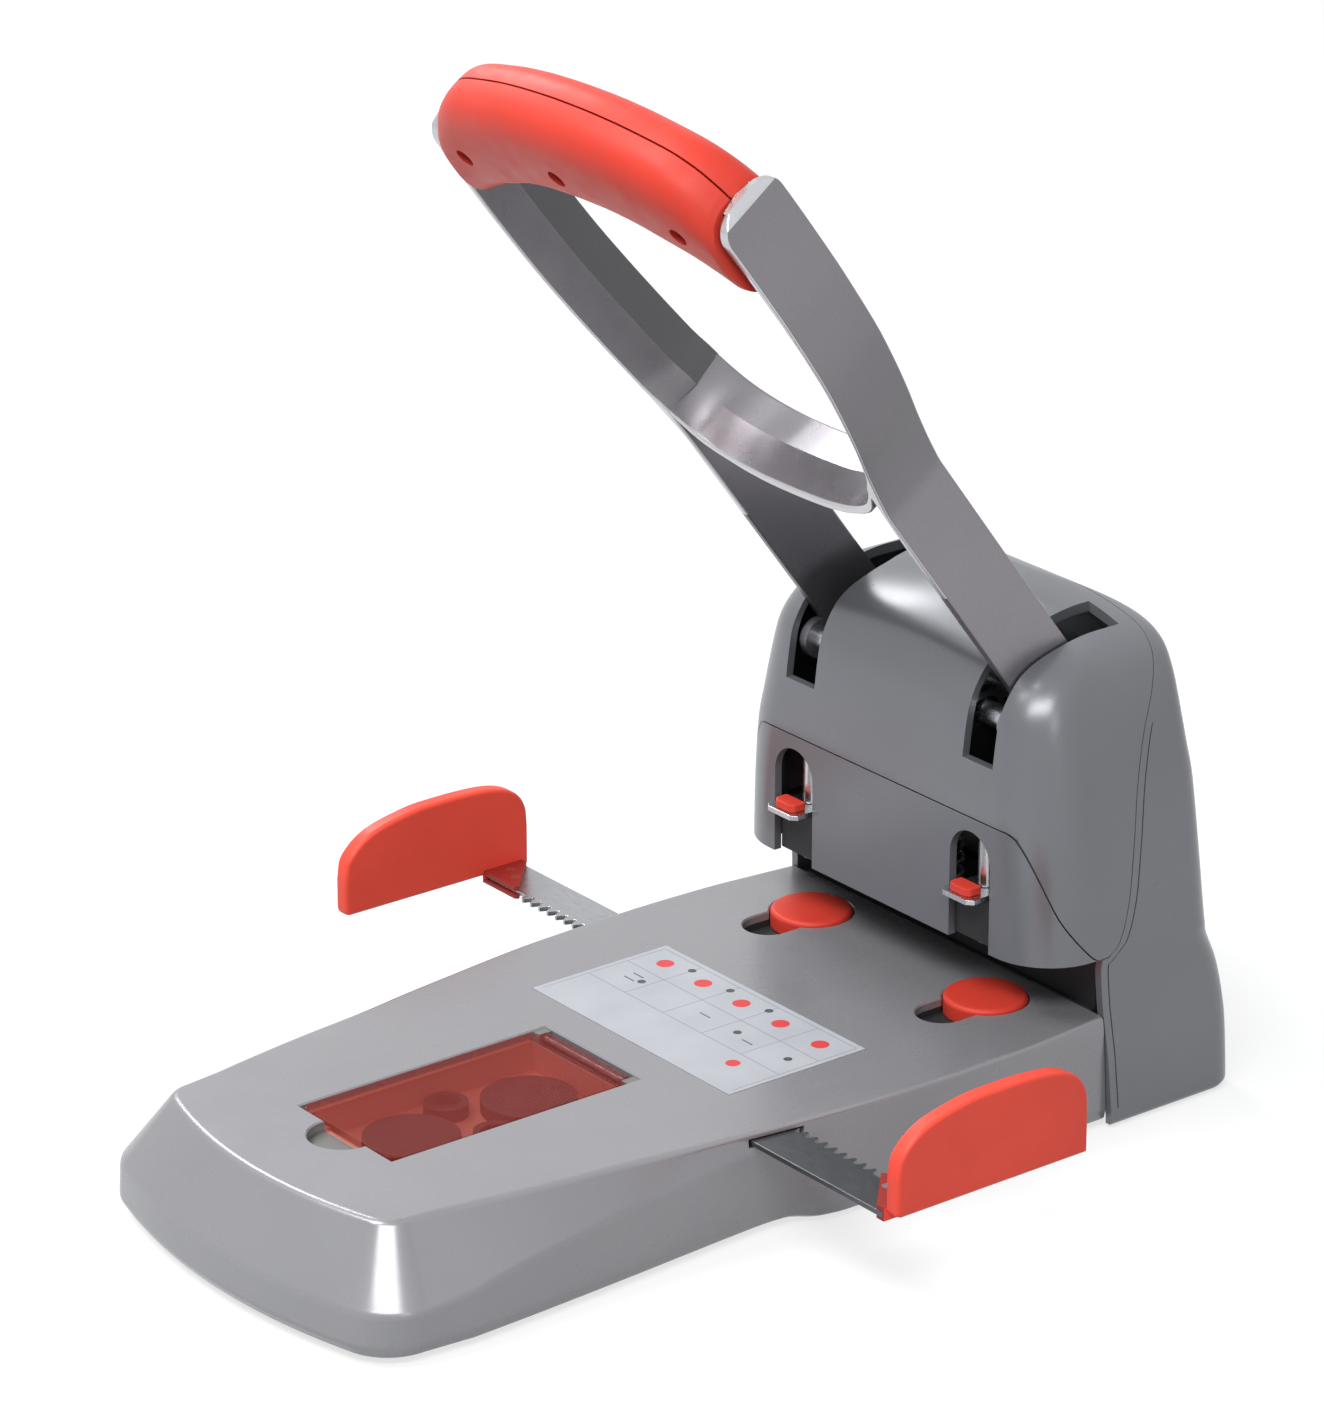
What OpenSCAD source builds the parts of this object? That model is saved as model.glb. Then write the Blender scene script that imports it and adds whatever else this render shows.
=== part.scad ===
// Heavy-duty two-hole desk punch, worked by a looped lever handle.
// Lengths are in millimetres. +Z is up, -Y is the front, where the paper goes in.
// Most sizes are taken from the punching line: y = 0 through both punch pins,
// z = 0 on the table. The whole machine is then moved so that its own origin is
// the middle of its footprint, on the surface that it stands on.

/* [Base] */
// Distance between the two hole centres
hole_pitch = 80; // [80:1:80]
// How far the base reaches in front of the punching line
base_front = 246; // [242:1:248]
// How far the rear housing reaches behind the punching line
rear_reach = 71; // [70:1:72]
// Height of the table above the bottom edge of the base
table_height = 35; // [34:0.5:36]
// Thickness of the moulded cover walls
wall = 2.6; // [2.2:0.1:2.8]
// How far the rubber feet stand out below the base
foot_height = 1.5; // [1:0.1:3]

/* [Throat and punches] */
// Height of the paper throat under the head
throat = 18.7; // [18:0.1:19]
// Outer diameter of a hollow punch pin
pin_d = 6; // [5.5:0.1:6]
// How far the pins travel down
stroke = 16.5; // [15:0.1:16.5]
// Diameter of a red cutting disc
disc_d = 25; // [24:0.1:25]
// How far a cutting disc stands above the table
disc_proud = 1.4; // [1:0.1:1.5]

/* [Paper guides] */
// Outer faces of the guide plates, from the middle
guide_reach = 131.8; // [130:0.1:134]
// Length of a guide plate
plate_length = 68.5; // [66:0.1:70]
// Height of a guide plate
plate_height = 28.8; // [27:0.1:30]
// Number of teeth on the guide pinion
pinion_teeth = 28; // [28:1:28]
// Distance from tooth to tooth on the racks
tooth_pitch = 4.18879; // [4.18879:0.00001:4.18879]

/* [Handle] */
// Lean of the raised handle from upright
handle_lean = 37; // [36:0.1:38]
// How far the handle swings down
handle_travel = 38; // [30:1:38]
// Outer half width of the loop at its widest
loop_half_width = 66.5; // [64:0.1:68]
// Depth of the handle band
band_depth = 23; // [22:0.1:24]

/* [Storage box] */
// Width of the see-through lid
lid_width = 44.3; // [42:0.1:45]
// Length of the see-through lid
lid_length = 85.5; // [84:0.1:86]

/* [Hidden] */
silver = "#a9acb0";
dark_silver = "#7e8188";
steel = "#8c9196";
black = "#35393a";
red = "#e4584a";
clear_red = "#c0503c";
paper_white = "#d9dce2";
brass = "#b38d5a";

half_pitch = hole_pitch / 2;
mid_y = (base_front - rear_reach) / 2;
ground = -table_height - foot_height;
sides = [-1, 1];
play = 0.3;          // air between pieces that move past each other
seam = 0.3;          // air between two covers

// --- places taken from the punching line --------------------------------------------
lid_rear = -113.7;
lid_front = lid_rear - lid_length;
label_size = [92.4, 49.8];
label_y = -75.5;
rack_gap_y = -78;                         // centre of the pinion
pinion_r = pinion_teeth * tooth_pitch / (2 * PI);
bar_width = 16;
bar_t = 1.6;
bar_top = -1.9;
rack_addendum = 1.2;
rack_root = 1.45;
plate_t = 5.5;
plate_front_y = -110.5;
plate_bottom = -2.5;
foot_length = 16.5;
rivet_places = [[9.5, 4], [4, 1.5]];      // from the plate, and towards the pinion

pivot = [30, 79];                         // handle axle, as [y, z]
pivot_r = 5;
leg_out = 46;                             // outer face of a handle leg
leg_t = 3;
crank_r = stroke / (sin(15) + sin(handle_travel - 15));
crank_at = [pivot[0] - crank_r * cos(15), pivot[1] + crank_r * sin(15)];
crank_rod_r = 3.5;
plate_x = 51;                             // inner face of a frame side plate
plate_w = 4;
beam_z = 54.5;                            // underside of the punch beam, raised
beam_t = 6.5;
head_plate_z = 22;
head_plate_t = 4;
spring_x = 18;
spring_y = 2.6;
pin_low = disc_proud + 0.2 + stroke;      // tip of a raised pin

// --- helpers --------------------------------------------------------------------------
// Moves a piece drawn from the punching line to the machine's own origin.
module machine() { translate([0, mid_y, -ground]) children(); }

// Keeps a smooth shell as one mesh.
module one_mesh() { resize([0, 0, 0]) children(); }

// A block by its two corners.
module block(a, b) { translate(a) cube(b - a); }

// A profile drawn as [y, z] points, carried along x from x0 to x1.
module along_x(x0, x1) {
    translate([x0, 0, 0]) rotate([90, 0, 90]) linear_extrude(x1 - x0) children();
}

// A rod along x through [y, z].
module rod_x(x0, x1, at, r) {
    translate([x0, at[0], at[1]]) rotate([0, 90, 0]) cylinder(r = r, h = x1 - x0, $fn = 48);
}

function mirror_ring(half) = concat(
    half, [for (i = [len(half) - 1 : -1 : (half[0][0] == 0 ? 1 : 0)]) [-half[i][0], half[i][1], half[i][2]]]);

// A smooth curve through points, with n steps between each two.
function curve(p, n) = concat(
    [for (i = [0 : len(p) - 2])
        let (a = p[max(i - 1, 0)], b = p[i], c = p[i + 1], d = p[min(i + 2, len(p) - 1)])
        for (k = [0 : n - 1]) let (t = k / n)
            0.5 * (2 * b + (c - a) * t + (2 * a - 5 * b + 4 * c - d) * t * t
                   + (3 * b - a - 3 * c + d) * t * t * t)],
    [p[len(p) - 1]]);

// A closed skin through rings of points, each ring anticlockwise from above, lowest first.
module skin(rings) {
    n = len(rings[0]);
    m = len(rings);
    polyhedron(
        points = [for (r = rings) each r],
        faces = concat(
            [[for (i = [0 : n - 1]) i]],
            [[for (i = [n - 1 : -1 : 0]) (m - 1) * n + i]],
            [for (k = [0 : m - 2], i = [0 : n - 1]) let (j = (i + 1) % n)
                [k * n + i, (k + 1) * n + i, (k + 1) * n + j]],
            [for (k = [0 : m - 2], i = [0 : n - 1]) let (j = (i + 1) % n)
                [k * n + i, (k + 1) * n + j, k * n + j]]));
}

// --- base shell -----------------------------------------------------------------------
// Stations along the side, and the half width of the table, of the crease, and of the foot.
station_y = [-205, -190, -171, -150, -130, -113, -100, -92, -84, -76, -60, -38, -15, 4, 21];
table_w = [55.2, 58, 61, 63.6, 67, 69.4, 71.2, 72.2, 73, 73.6, 74.4, 75, 74.5, 72.8, 71];
crease_w = [70, 69.2, 68.5, 68.1, 68.6, 69.6, 71, 71.8, 72.6, 73.2, 73.9, 74.4, 74, 72.8, 71.4];
crease_z = [16.5, 14, 12, 9.5, 7.7, 6, 4.8, 4, 4, 4, 4, 4, 4, 4, 4];
lower_w = [69, 68.6, 67.8, 66.7, 65.5, 64.5, 64, 64.6, 69.6, 71, 71.2, 71.2, 71.2, 71.2, 71.2];
crease_front_z = 18.8;   // depth of the crease across the front
table_bow_r = 150;
crease_bow_r = 200;
corner_steps = 6;

// The seam between the base and the rear housing leans: its place at a height z.
function base_seam_y(z) = 17.8 - z * 0.077;

// One ring: the bowed front, the rounded corner, then the side stations.
function base_ring(front, bow_r, widths, front_z, depths, corner_r, inset, back = 0) =
    let (
        xs = widths[0] - 1.5 - inset,
        r = max(corner_r - inset, 2),
        x0 = xs - r + r * cos(73),
        front_in = -front + inset,
        yk = front_in + x0 * x0 / (2 * bow_r) + r * sin(73),
        half = concat(
            [for (t = [0 : 0.2 : 0.8]) let (x = x0 * t)
                [x, front_in + x * x / (2 * bow_r), -front_z]],
            [for (i = [0 : corner_steps]) let (a = -73 + i * 73 / corner_steps)
                [xs - r + r * cos(a), yk + r * sin(a), -front_z]],
            [for (i = [0 : len(widths) - 1])
                [widths[i] - inset, station_y[i] + (i == len(widths) - 1 ? back : 0), -depths[i]]])
    ) mirror_ring(half);

function level(z) = [for (i = [0 : len(station_y) - 1]) z];

function flat_ring(front, bow_r, widths, depth, corner_r, inset, back = 0) =
    base_ring(front, bow_r, widths, depth, level(depth), corner_r, inset, back);

function base_rings(inset) = [
    flat_ring(base_front - 3.5, crease_bow_r, lower_w, table_height, 15, inset + 3.5),
    flat_ring(base_front - 1, crease_bow_r, lower_w, table_height - 1.4, 17, inset + 1),
    flat_ring(base_front, crease_bow_r, lower_w, table_height - 4.5, 18, inset),
    base_ring(base_front - 1, crease_bow_r, crease_w, crease_front_z, crease_z, 18, inset),
    flat_ring(base_front - 13.4, table_bow_r, table_w, 0.9, 9, inset),
    flat_ring(base_front - 14, table_bow_r, table_w, 0, 9, inset + 0.6)
];

function hollow_rings(inset) = [
    flat_ring(base_front - 1, crease_bow_r, lower_w, table_height + 1, 16, inset + 1, 4),
    flat_ring(base_front, crease_bow_r, lower_w, table_height - 4.5, 17, inset, 4),
    base_ring(base_front - 1, crease_bow_r, crease_w, crease_front_z + 1.5, [for (z = crease_z) z + 1.5],
              17, inset, 4),
    flat_ring(base_front - 13.4, table_bow_r, table_w, wall, 8, inset, 4)
];

// The sunk outline round a cutting disc, with its finger notch to the front.
module disc_outline(side, grow) {
    translate([side * half_pitch, 0]) {
        circle(r = disc_d / 2 + play + grow, $fn = 64);
        hull() {
            translate([0, -4]) circle(r = 7.5 + grow, $fn = 32);
            translate([0, -17]) circle(r = 7.5 + grow, $fn = 32);
        }
    }
}

// Hollow posts that the bottom screws bite into.
post_top = -wall + 0.5;
plate_top = -table_height + 2.2;
base_posts = [for (x = sides, y = [-150, -34]) [x * (y < -100 ? 40 : 30), y]];
rear_posts = [for (x = sides) [x * 60, 58]];

module post(at, top) translate([at[0], at[1], plate_top]) cylinder(r = 4.5, h = top - plate_top, $fn = 32);
module post_hole(at) translate([at[0], at[1], plate_top - 1]) cylinder(r = 2.15, h = 11, $fn = 24);

module base_cover() color(silver) machine() one_mesh() difference() {
    union() {
        difference() {
            skin(base_rings(0));
            skin(hollow_rings(wall));
        }
        for (p = base_posts) post(p, post_top);
    }
    for (p = base_posts) post_hole(p);
    // leaning seam with the rear housing
    along_x(-90, 90) polygon([
        [base_seam_y(-40) - seam / 2, -40], [base_seam_y(2) - seam / 2, 2], [40, 2], [40, -40]]);
    // lid opening and its thumb notch
    block([-lid_width / 2 - play, lid_front - play, -wall - 1],
          [lid_width / 2 + play, lid_rear + 0.5, 1]);
    translate([0, lid_front - 1, -wall - 1]) cylinder(r = 10, h = wall + 2, $fn = 40);
    // cutting disc recesses
    for (s = sides) translate([0, 0, -wall - 1]) linear_extrude(wall + 2) disc_outline(s, 0);
    // label recess
    translate([0, label_y, 0]) cube([label_size[0] + 0.4, label_size[1] + 0.4, 0.8], center = true);
    // guide bar slits, and room for the bars under the table
    for (turn = [0, 180]) translate([0, rack_gap_y, 0]) rotate([0, 0, turn])
        block([-67.5, -pinion_r - bar_width + 0.6, bar_top - bar_t - 0.8],
              [90, -pinion_r + 2.6, bar_top + 0.3]);
    translate([0, rack_gap_y, bar_top - 4]) cylinder(r = pinion_r + 2.5, h = 4.3, $fn = 64);
}

// Plan of the sheet steel bottom, inside the base shell and the rear housing.
module bottom_plan(inset) {
    w = 58 - inset;
    polygon([[-w, -220 + inset], [-w + 10, -228 + inset], [w - 10, -228 + inset], [w, -220 + inset],
             [w, -94], [w + 6, -84], [w + 6, rear_reach - 6 - inset],
             [-w - 6, rear_reach - 6 - inset], [-w - 6, -84], [-w, -94]]);
}

foot_places = [for (x = sides, y = [-205, 48]) [x * 46, y]];
base_screw_places = concat(base_posts, rear_posts);

module base_plate() color(steel) machine() difference() {
    translate([0, 0, -table_height + 0.2]) linear_extrude(2) bottom_plan(0);
    for (p = foot_places) translate([p[0], p[1], -table_height - 1]) cylinder(r = 3, h = 5, $fn = 32);
    for (p = base_screw_places)
        translate([p[0], p[1], -table_height - 1]) cylinder(r = 2.05, h = 5, $fn = 32);
}

module rubber_feet() color(black) machine() for (p = foot_places) translate([p[0], p[1], 0]) {
    translate([0, 0, ground]) cylinder(r = 8, h = foot_height + 0.2, $fn = 48);
    translate([0, 0, -table_height + 0.1]) cylinder(r = 3, h = 3.2, $fn = 32);
}

module base_screws() color(steel) machine() for (p = base_screw_places) translate([p[0], p[1], 0]) {
    translate([0, 0, -table_height - 1]) difference() {
        cylinder(r = 3.6, h = 1.2, $fn = 32);
        translate([0, 0, -0.1]) cylinder(r = 1.6, h = 0.8, $fn = 6);
    }
    translate([0, 0, -table_height + 0.2]) cylinder(r = 2, h = 9, $fn = 32);
}

module hole_label() color(paper_white) machine() translate([0, label_y, -0.4])
    linear_extrude(0.5) square(label_size, center = true);

// --- storage box ----------------------------------------------------------------------
tray_depth = 13;
tray_wall = 1.6;
lid_t = 2.4;
hinge_r = 1.2;
barrel_r = 2.2;
barrel_x = 19;
hinge_y = lid_rear - barrel_r;
hinge_z = -barrel_r;

module storage_tray() color(silver) machine() difference() {
    union() {
        difference() {
            union() {
                block([-lid_width / 2 - 3, lid_front - 3, -tray_depth],
                      [lid_width / 2 + 3, lid_rear + 1.9, -wall]);
                translate([0, lid_front - 1, -wall - 2.4]) cylinder(r = 12, h = 2.4, $fn = 40);
            }
            block([-lid_width / 2 + 1.4, lid_front + 1.4, -tray_depth + tray_wall],
                  [lid_width / 2 - 1.4, hinge_y - 3.5, -wall + 1]);
            // thumb hollow in front of the lid
            translate([0, lid_front - 1, -wall - 0.8]) cylinder(r = 10, h = 2, $fn = 40);
            // trough for the lid's barrel
            block([-lid_width / 2 - 0.3, hinge_y - 3, hinge_z - barrel_r - 0.4],
                  [lid_width / 2 + 0.3, lid_rear + 0.3, 0]);
        }
        // ears that hold the hinge pin
        for (s = [0, 1]) mirror([s, 0, 0])
            block([barrel_x + 0.4, hinge_y - 2, hinge_z - barrel_r - 0.4],
                  [lid_width / 2 + 0.1, lid_rear + 0.2, -0.4]);
    }
    rod_x(-lid_width, lid_width, [hinge_y, hinge_z], hinge_r);
}

module storage_lid() color(clear_red, 0.6) machine() difference() {
    union() {
        block([-lid_width / 2, lid_front, -lid_t], [lid_width / 2, hinge_y - 3, 0]);
        block([-barrel_x, lid_front + 10, -lid_t], [barrel_x, hinge_y, 0]);
        rod_x(-barrel_x, barrel_x, [hinge_y, hinge_z], barrel_r);
    }
    rod_x(-lid_width, lid_width, [hinge_y, hinge_z], hinge_r + 0.05);
    // the front corners are cut off
    for (s = sides) translate([s * lid_width / 2, lid_front, -lid_t]) rotate([0, 0, 45])
        cube([3, 3, 8], center = true);
}

module lid_hinge_pin() color(steel) machine()
    rod_x(-lid_width / 2 - 0.1, lid_width / 2 + 0.1, [hinge_y, hinge_z], hinge_r);

spare_r = 14;
module spare_discs() color(red) machine() for (y = [-136, -177])
    translate([0, y, -tray_depth + tray_wall]) cylinder(r = spare_r, h = 4, $fn = 48);

module spare_rings() color(black) machine()
    for (p = [[-12, -156.5], [12, -156.5]]) translate([p[0], p[1], -tray_depth + tray_wall])
        difference() {
            cylinder(r = 6.5, h = 4, $fn = 40);
            translate([0, 0, 1.5]) cylinder(r = 4.4, h = 4, $fn = 32);
        }

// --- cutting discs --------------------------------------------------------------------
cup_floor = -4.6;
module disc_cup(side) color(black) machine() difference() {
    translate([0, 0, cup_floor - 1.2]) linear_extrude(-cup_floor + 1.2 - wall) disc_outline(side, 1.6);
    translate([0, 0, cup_floor]) linear_extrude(6) disc_outline(side, 0);
}
module disc_cup_left() disc_cup(-1);
module disc_cup_right() disc_cup(1);

module cutting_disc(side) color(red) machine() translate([side * half_pitch, 0, cup_floor])
    rotate_extrude($fn = 96) polygon([
        [0, 0.1], [disc_d / 2 - 0.4, 0.1], [disc_d / 2, 0.5], [disc_d / 2, -cup_floor + 0.5],
        [disc_d / 2 - 0.25, -cup_floor + 0.95], [disc_d / 2 - 0.9, -cup_floor + 1.25],
        [disc_d / 2 - 2, -cup_floor + disc_proud], [0, -cup_floor + disc_proud]]);
module cutting_disc_left() cutting_disc(-1);
module cutting_disc_right() cutting_disc(1);

// --- paper guides ---------------------------------------------------------------------
bar_inner_end = 32;      // how far a bar runs past the middle
rack_span = guide_reach - plate_t - foot_length + bar_inner_end - 4;
tooth_count = floor(rack_span / tooth_pitch);
bar_outer_end = guide_reach - plate_t;

rivet_y = pinion_r + bar_width / 2 + 1;   // from the pinion's centre

// Outline of a bar: a plain front edge, and straight-sided teeth along the edge at the pinion.
bar_front = -pinion_r - bar_width + rack_addendum;
root_y = -pinion_r - rack_root;
tip_y = -pinion_r + rack_addendum;
rack_outline = concat(
    [[-bar_inner_end, bar_front], [bar_outer_end, bar_front], [bar_outer_end, root_y]],
    [for (i = [tooth_count : -1 : 0]) let (x = (i - 7) * tooth_pitch) each [
        [x + tooth_pitch / 2 - 0.55, root_y], [x + tooth_pitch / 4 - 0.62, tip_y],
        [x - tooth_pitch / 4 + 0.62, tip_y], [x - tooth_pitch / 2 + 0.55, root_y]]],
    [[-bar_inner_end, root_y]]);

// A bar drawn for the right side: its teeth face the pinion at +y.
module guide_bar() color(steel) difference() {
    translate([0, 0, bar_top - bar_t]) linear_extrude(bar_t) polygon(rack_outline);
    for (p = rivet_places) translate([guide_reach - plate_t - p[0], p[1] - rivet_y, bar_top - 3])
        cylinder(r = 1.5, h = 5, $fn = 32);
}

module guide_bar_right() machine() translate([0, rack_gap_y, 0]) guide_bar();
module guide_bar_left() machine() translate([0, rack_gap_y, 0]) rotate([0, 0, 180]) guide_bar();

// Outline of a guide plate, from its front bottom corner.
plate_outline = concat([[1.2, 0], [0, 1.4]], curve([
    [0, 11], [0.8, 16.5], [4, 20.9], [10.5, 25], [20, 27.4], [30, 28.7], [40, 28.8], [50, 28.1],
    [57, 26.8], [62.3, 24.4], [66, 21], [68, 16.8], [68.5, 12]], 2), [[68.5, 0]]);

// Each plate has a three-cornered foot that holds its bar from above and below.
module guide_plate(side) color(red) machine() mirror([side < 0 ? 1 : 0, 0, 0]) {
    bar_mid = rack_gap_y - side * (pinion_r + bar_width / 2 - 0.6);
    inner = guide_reach - plate_t;
    difference() {
        union() {
            translate([inner, plate_front_y, plate_bottom]) rotate([90, 0, 90])
                linear_extrude(plate_t) polygon([for (p = plate_outline)
                    [p[0] * plate_length / 68.5, p[1] * plate_height / 28.8]]);
            translate([0, 0, bar_top - bar_t - 1]) linear_extrude(bar_t + 2.4) polygon([
                [inner + 0.6, bar_mid + side * 7.2], [inner - foot_length, bar_mid + side * 7.2],
                [inner - foot_length, bar_mid + side * 6], [inner - 2.5, bar_mid - side * 7.2],
                [inner + 0.6, bar_mid - side * 7.2]]);
        }
        // the bar's seat
        block([inner - foot_length - 1, bar_mid - 9, bar_top - bar_t],
              [bar_outer_end, bar_mid + 9, bar_top]);
        for (p = rivet_places)
            translate([inner - p[0], rack_gap_y - side * (rivet_y - p[1]), bar_top - 6])
                cylinder(r = 1.5, h = 9, $fn = 32);
    }
}
module guide_plate_left() guide_plate(-1);
module guide_plate_right() guide_plate(1);

module guide_rivets(side) color(steel) machine() for (p = rivet_places)
    translate([side * (guide_reach - plate_t - p[0]), rack_gap_y - side * (rivet_y - p[1]),
               bar_top - bar_t - 1]) {
        cylinder(r = 1.5, h = bar_t + 2.4, $fn = 32);
        translate([0, 0, -0.7]) cylinder(r = 2.4, h = 0.7, $fn = 32);
    }
module guide_rivets_left() guide_rivets(-1);
module guide_rivets_right() guide_rivets(1);

// Pinion with straight-flanked teeth that follow the rack's slope.
pinion_bore = 4.05;
module guide_pinion() color(brass) machine() translate([0, rack_gap_y, bar_top - bar_t])
    difference() {
        union() {
            cylinder(r = pinion_r - rack_root, h = bar_t, $fn = 96);
            linear_extrude(bar_t) for (i = [0 : pinion_teeth - 1])
                rotate([0, 0, 360 / pinion_teeth * (i + 0.5)]) polygon([
                    [pinion_r - rack_root - 0.5, -1.15], [pinion_r, -0.78],
                    [pinion_r + rack_addendum - 0.15, -0.36],
                    [pinion_r + rack_addendum - 0.15, 0.36], [pinion_r, 0.78],
                    [pinion_r - rack_root - 0.5, 1.15]]);
        }
        translate([0, 0, -1]) cylinder(r = pinion_bore, h = 5, $fn = 48);
    }

// Moulded bed under the table that carries both bars and the pinion.
channel_floor = bar_top - bar_t - 0.1;
module guide_channel() color(black) machine() translate([0, rack_gap_y, 0]) difference() {
    block([-62, -pinion_r - bar_width - 1.5, channel_floor - 3],
          [62, pinion_r + bar_width + 1.5, -wall]);
    for (turn = [0, 180]) rotate([0, 0, turn])
        block([-67.5, -pinion_r - bar_width + 0.9, channel_floor], [67.5, -pinion_r + 2.6, 0]);
    translate([0, 0, channel_floor]) cylinder(r = pinion_r + 2, h = 5, $fn = 64);
    for (s = sides) translate([s * 38, 0, channel_floor - 4]) cylinder(r = 11, h = 9, $fn = 48);
    // room for the storage box in front
    block([-26, -pinion_r - bar_width - 4, channel_floor - 4], [26, -pinion_r - bar_width + 1.3, 0]);
    translate([0, 0, channel_floor - 4]) cylinder(r = 2, h = 6, $fn = 32);
}

module pinion_screw() color(steel) machine() translate([0, rack_gap_y, 0]) {
    translate([0, 0, channel_floor - 5]) cylinder(r = 2, h = 5, $fn = 32);
    translate([0, 0, channel_floor]) cylinder(r = 4, h = bar_t + 0.2, $fn = 48);
}

cup_bottom = -5.8;       // where the disc cups rest on the cross plate

// --- steel frame ----------------------------------------------------------------------
// Side plate profile as [y, z]: a foot under the table, a column behind the throat, a head arm.
frame_profile = [
    [-40, plate_top], [52, plate_top], [52, -2], [50, 14], [50, 86], [42, 95], [22, 95], [5, 90],
    [-2.6, 68], [-2.6, 22], [26, 22], [29, 18], [29, cup_bottom], [-40, cup_bottom]];
beam_slot = [[-0.2, 34], [9.2, beam_z + beam_t + 0.8]];

module frame_side(side) color(steel) machine() {
    x0 = side > 0 ? plate_x : -plate_x - plate_w;
    difference() {
        along_x(x0, x0 + plate_w) polygon(frame_profile);
        block([x0 - 1, beam_slot[0][0], beam_slot[0][1]],
              [x0 + plate_w + 1, beam_slot[1][0], beam_slot[1][1]]);
        rod_x(x0 - 1, x0 + plate_w + 1, pivot, pivot_r);
        for (p = frame_bolt_places) rod_x(x0 - 1, x0 + plate_w + 1, p, bolt_r);
    }
}
module frame_side_left() frame_side(-1);
module frame_side_right() frame_side(1);

bolt_r = 1.95;
// Screws through the side plates into the cross plates, as [y, z].
frame_bolt_places = [[-16, -8.5], [16, -8.5], [18, head_plate_z + 2], [43, 20], [44, 52]];

module cross_holes() {
    for (p = frame_bolt_places, s = sides)
        rod_x(s > 0 ? plate_x - 9 : -plate_x - 1, s > 0 ? plate_x + 1 : -plate_x + 9, p, bolt_r);
}

module anvil_plate() color(steel) machine() difference() {
    block([-plate_x, -26, -11.2], [plate_x, 26, cup_bottom]);
    cross_holes();
}

module head_plate() color(steel) machine() difference() {
    block([-plate_x, -2.6, head_plate_z], [plate_x, 24, head_plate_z + head_plate_t]);
    for (s = sides)
        block([s * half_pitch - guide_half, -4, head_plate_z - 1], [s * half_pitch + guide_half, 8, 30]);
    cross_holes();
}

// Two cross bars behind the column, which also take the rear cover's screws.
tie_low = [[38, 14], [48, 26]];
tie_high = [[40, 46], [48, 58]];
module rear_ties() color(steel) machine() difference() {
    for (t = [tie_low, tie_high]) block([-plate_x, t[0][0], t[0][1]], [plate_x, t[1][0], t[1][1]]);
    cross_holes();
    for (p = cover_screw_places) translate([p[0], 60, p[2]]) rotate([90, 0, 0])
        cylinder(r = cover_screw_r, h = 30, $fn = 32);
}

module frame_bolts() color(steel) machine() for (p = frame_bolt_places, s = sides) {
    rod_x(s > 0 ? plate_x - 8 : -plate_x - plate_w, s > 0 ? plate_x + plate_w : -plate_x + 8, p, bolt_r);
    rod_x(s > 0 ? plate_x + plate_w : -plate_x - plate_w - 2,
          s > 0 ? plate_x + plate_w + 2 : -plate_x - plate_w, p, 3.4);
}

// Dark plate that the paper's edge stops against, with a lip that meets the table.
module paper_stop() color(black) machine() along_x(-65, 65) polygon([
    [18.2, -wall], [22.2, -wall], [22.2, throat - 0.3], [20.2, throat - 0.3], [20.2, 0], [18.2, 0]]);

// --- punching train -------------------------------------------------------------------
guide_low = throat + 0.9;
guide_half = 8.4;
guide_high = 34.2;
module pin_guide(side) color(black) machine() difference() {
    block([side * half_pitch - guide_half, -5.2, guide_low],
          [side * half_pitch + guide_half, 8, guide_high]);
    translate([side * half_pitch, 0, guide_low - 1]) cylinder(r = pin_d / 2 + 0.05, h = 20, $fn = 48);
}
module pin_guide_left() pin_guide(-1);
module pin_guide_right() pin_guide(1);

// Sheet steel clip, forked round the pin, with a tongue that a finger pulls forward.
clip_z = guide_high + 0.1;
clip_t = 1.6;
module release_clip(side) color("#c8ccd0") machine() translate([side * half_pitch, 0, clip_z])
    linear_extrude(clip_t) difference() {
        polygon([[-7, 7.4], [-7, -11.4], [-5.2, -13], [5.2, -13], [7, -11.4], [7, 7.4]]);
        circle(r = pin_d / 2 + 0.5, $fn = 40);
        translate([-pin_d / 2 - 0.5, 0]) square([pin_d + 1, 10]);
    }
module release_clip_left() release_clip(-1);
module release_clip_right() release_clip(1);

module clip_tip(side) color(red) machine()
    translate([side * half_pitch, -8.9, clip_z + clip_t]) linear_extrude(2.4)
        polygon([[-4.5, 2.6], [-4.5, -1.6], [-3, -2.9], [3, -2.9], [4.5, -1.6], [4.5, 2.6]]);
module clip_tip_left() clip_tip(-1);
module clip_tip_right() clip_tip(1);

// Hollow pin: a cutting edge, a thin collar under the beam, and a chip tube above it.
collar_t = 1.6;
tube_r = 2.2;
tube_top = 68;
module punch_pin(side) color(steel) machine() translate([side * half_pitch, 0, 0])
    rotate_extrude($fn = 64) polygon([
        [1.7, pin_low + 1.4], [2.3, pin_low + 0.8], [pin_d / 2 - 0.25, pin_low],
        [pin_d / 2, pin_low + 0.5], [pin_d / 2, beam_z - collar_t], [4.4, beam_z - collar_t],
        [4.4, beam_z], [pin_d / 2, beam_z], [pin_d / 2, beam_z + beam_t + 1],
        [tube_r, beam_z + beam_t + 1.8], [tube_r, tube_top - 0.4], [tube_r - 0.3, tube_top],
        [1.7, tube_top]]);
module punch_pin_left() punch_pin(-1);
module punch_pin_right() punch_pin(1);

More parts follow.
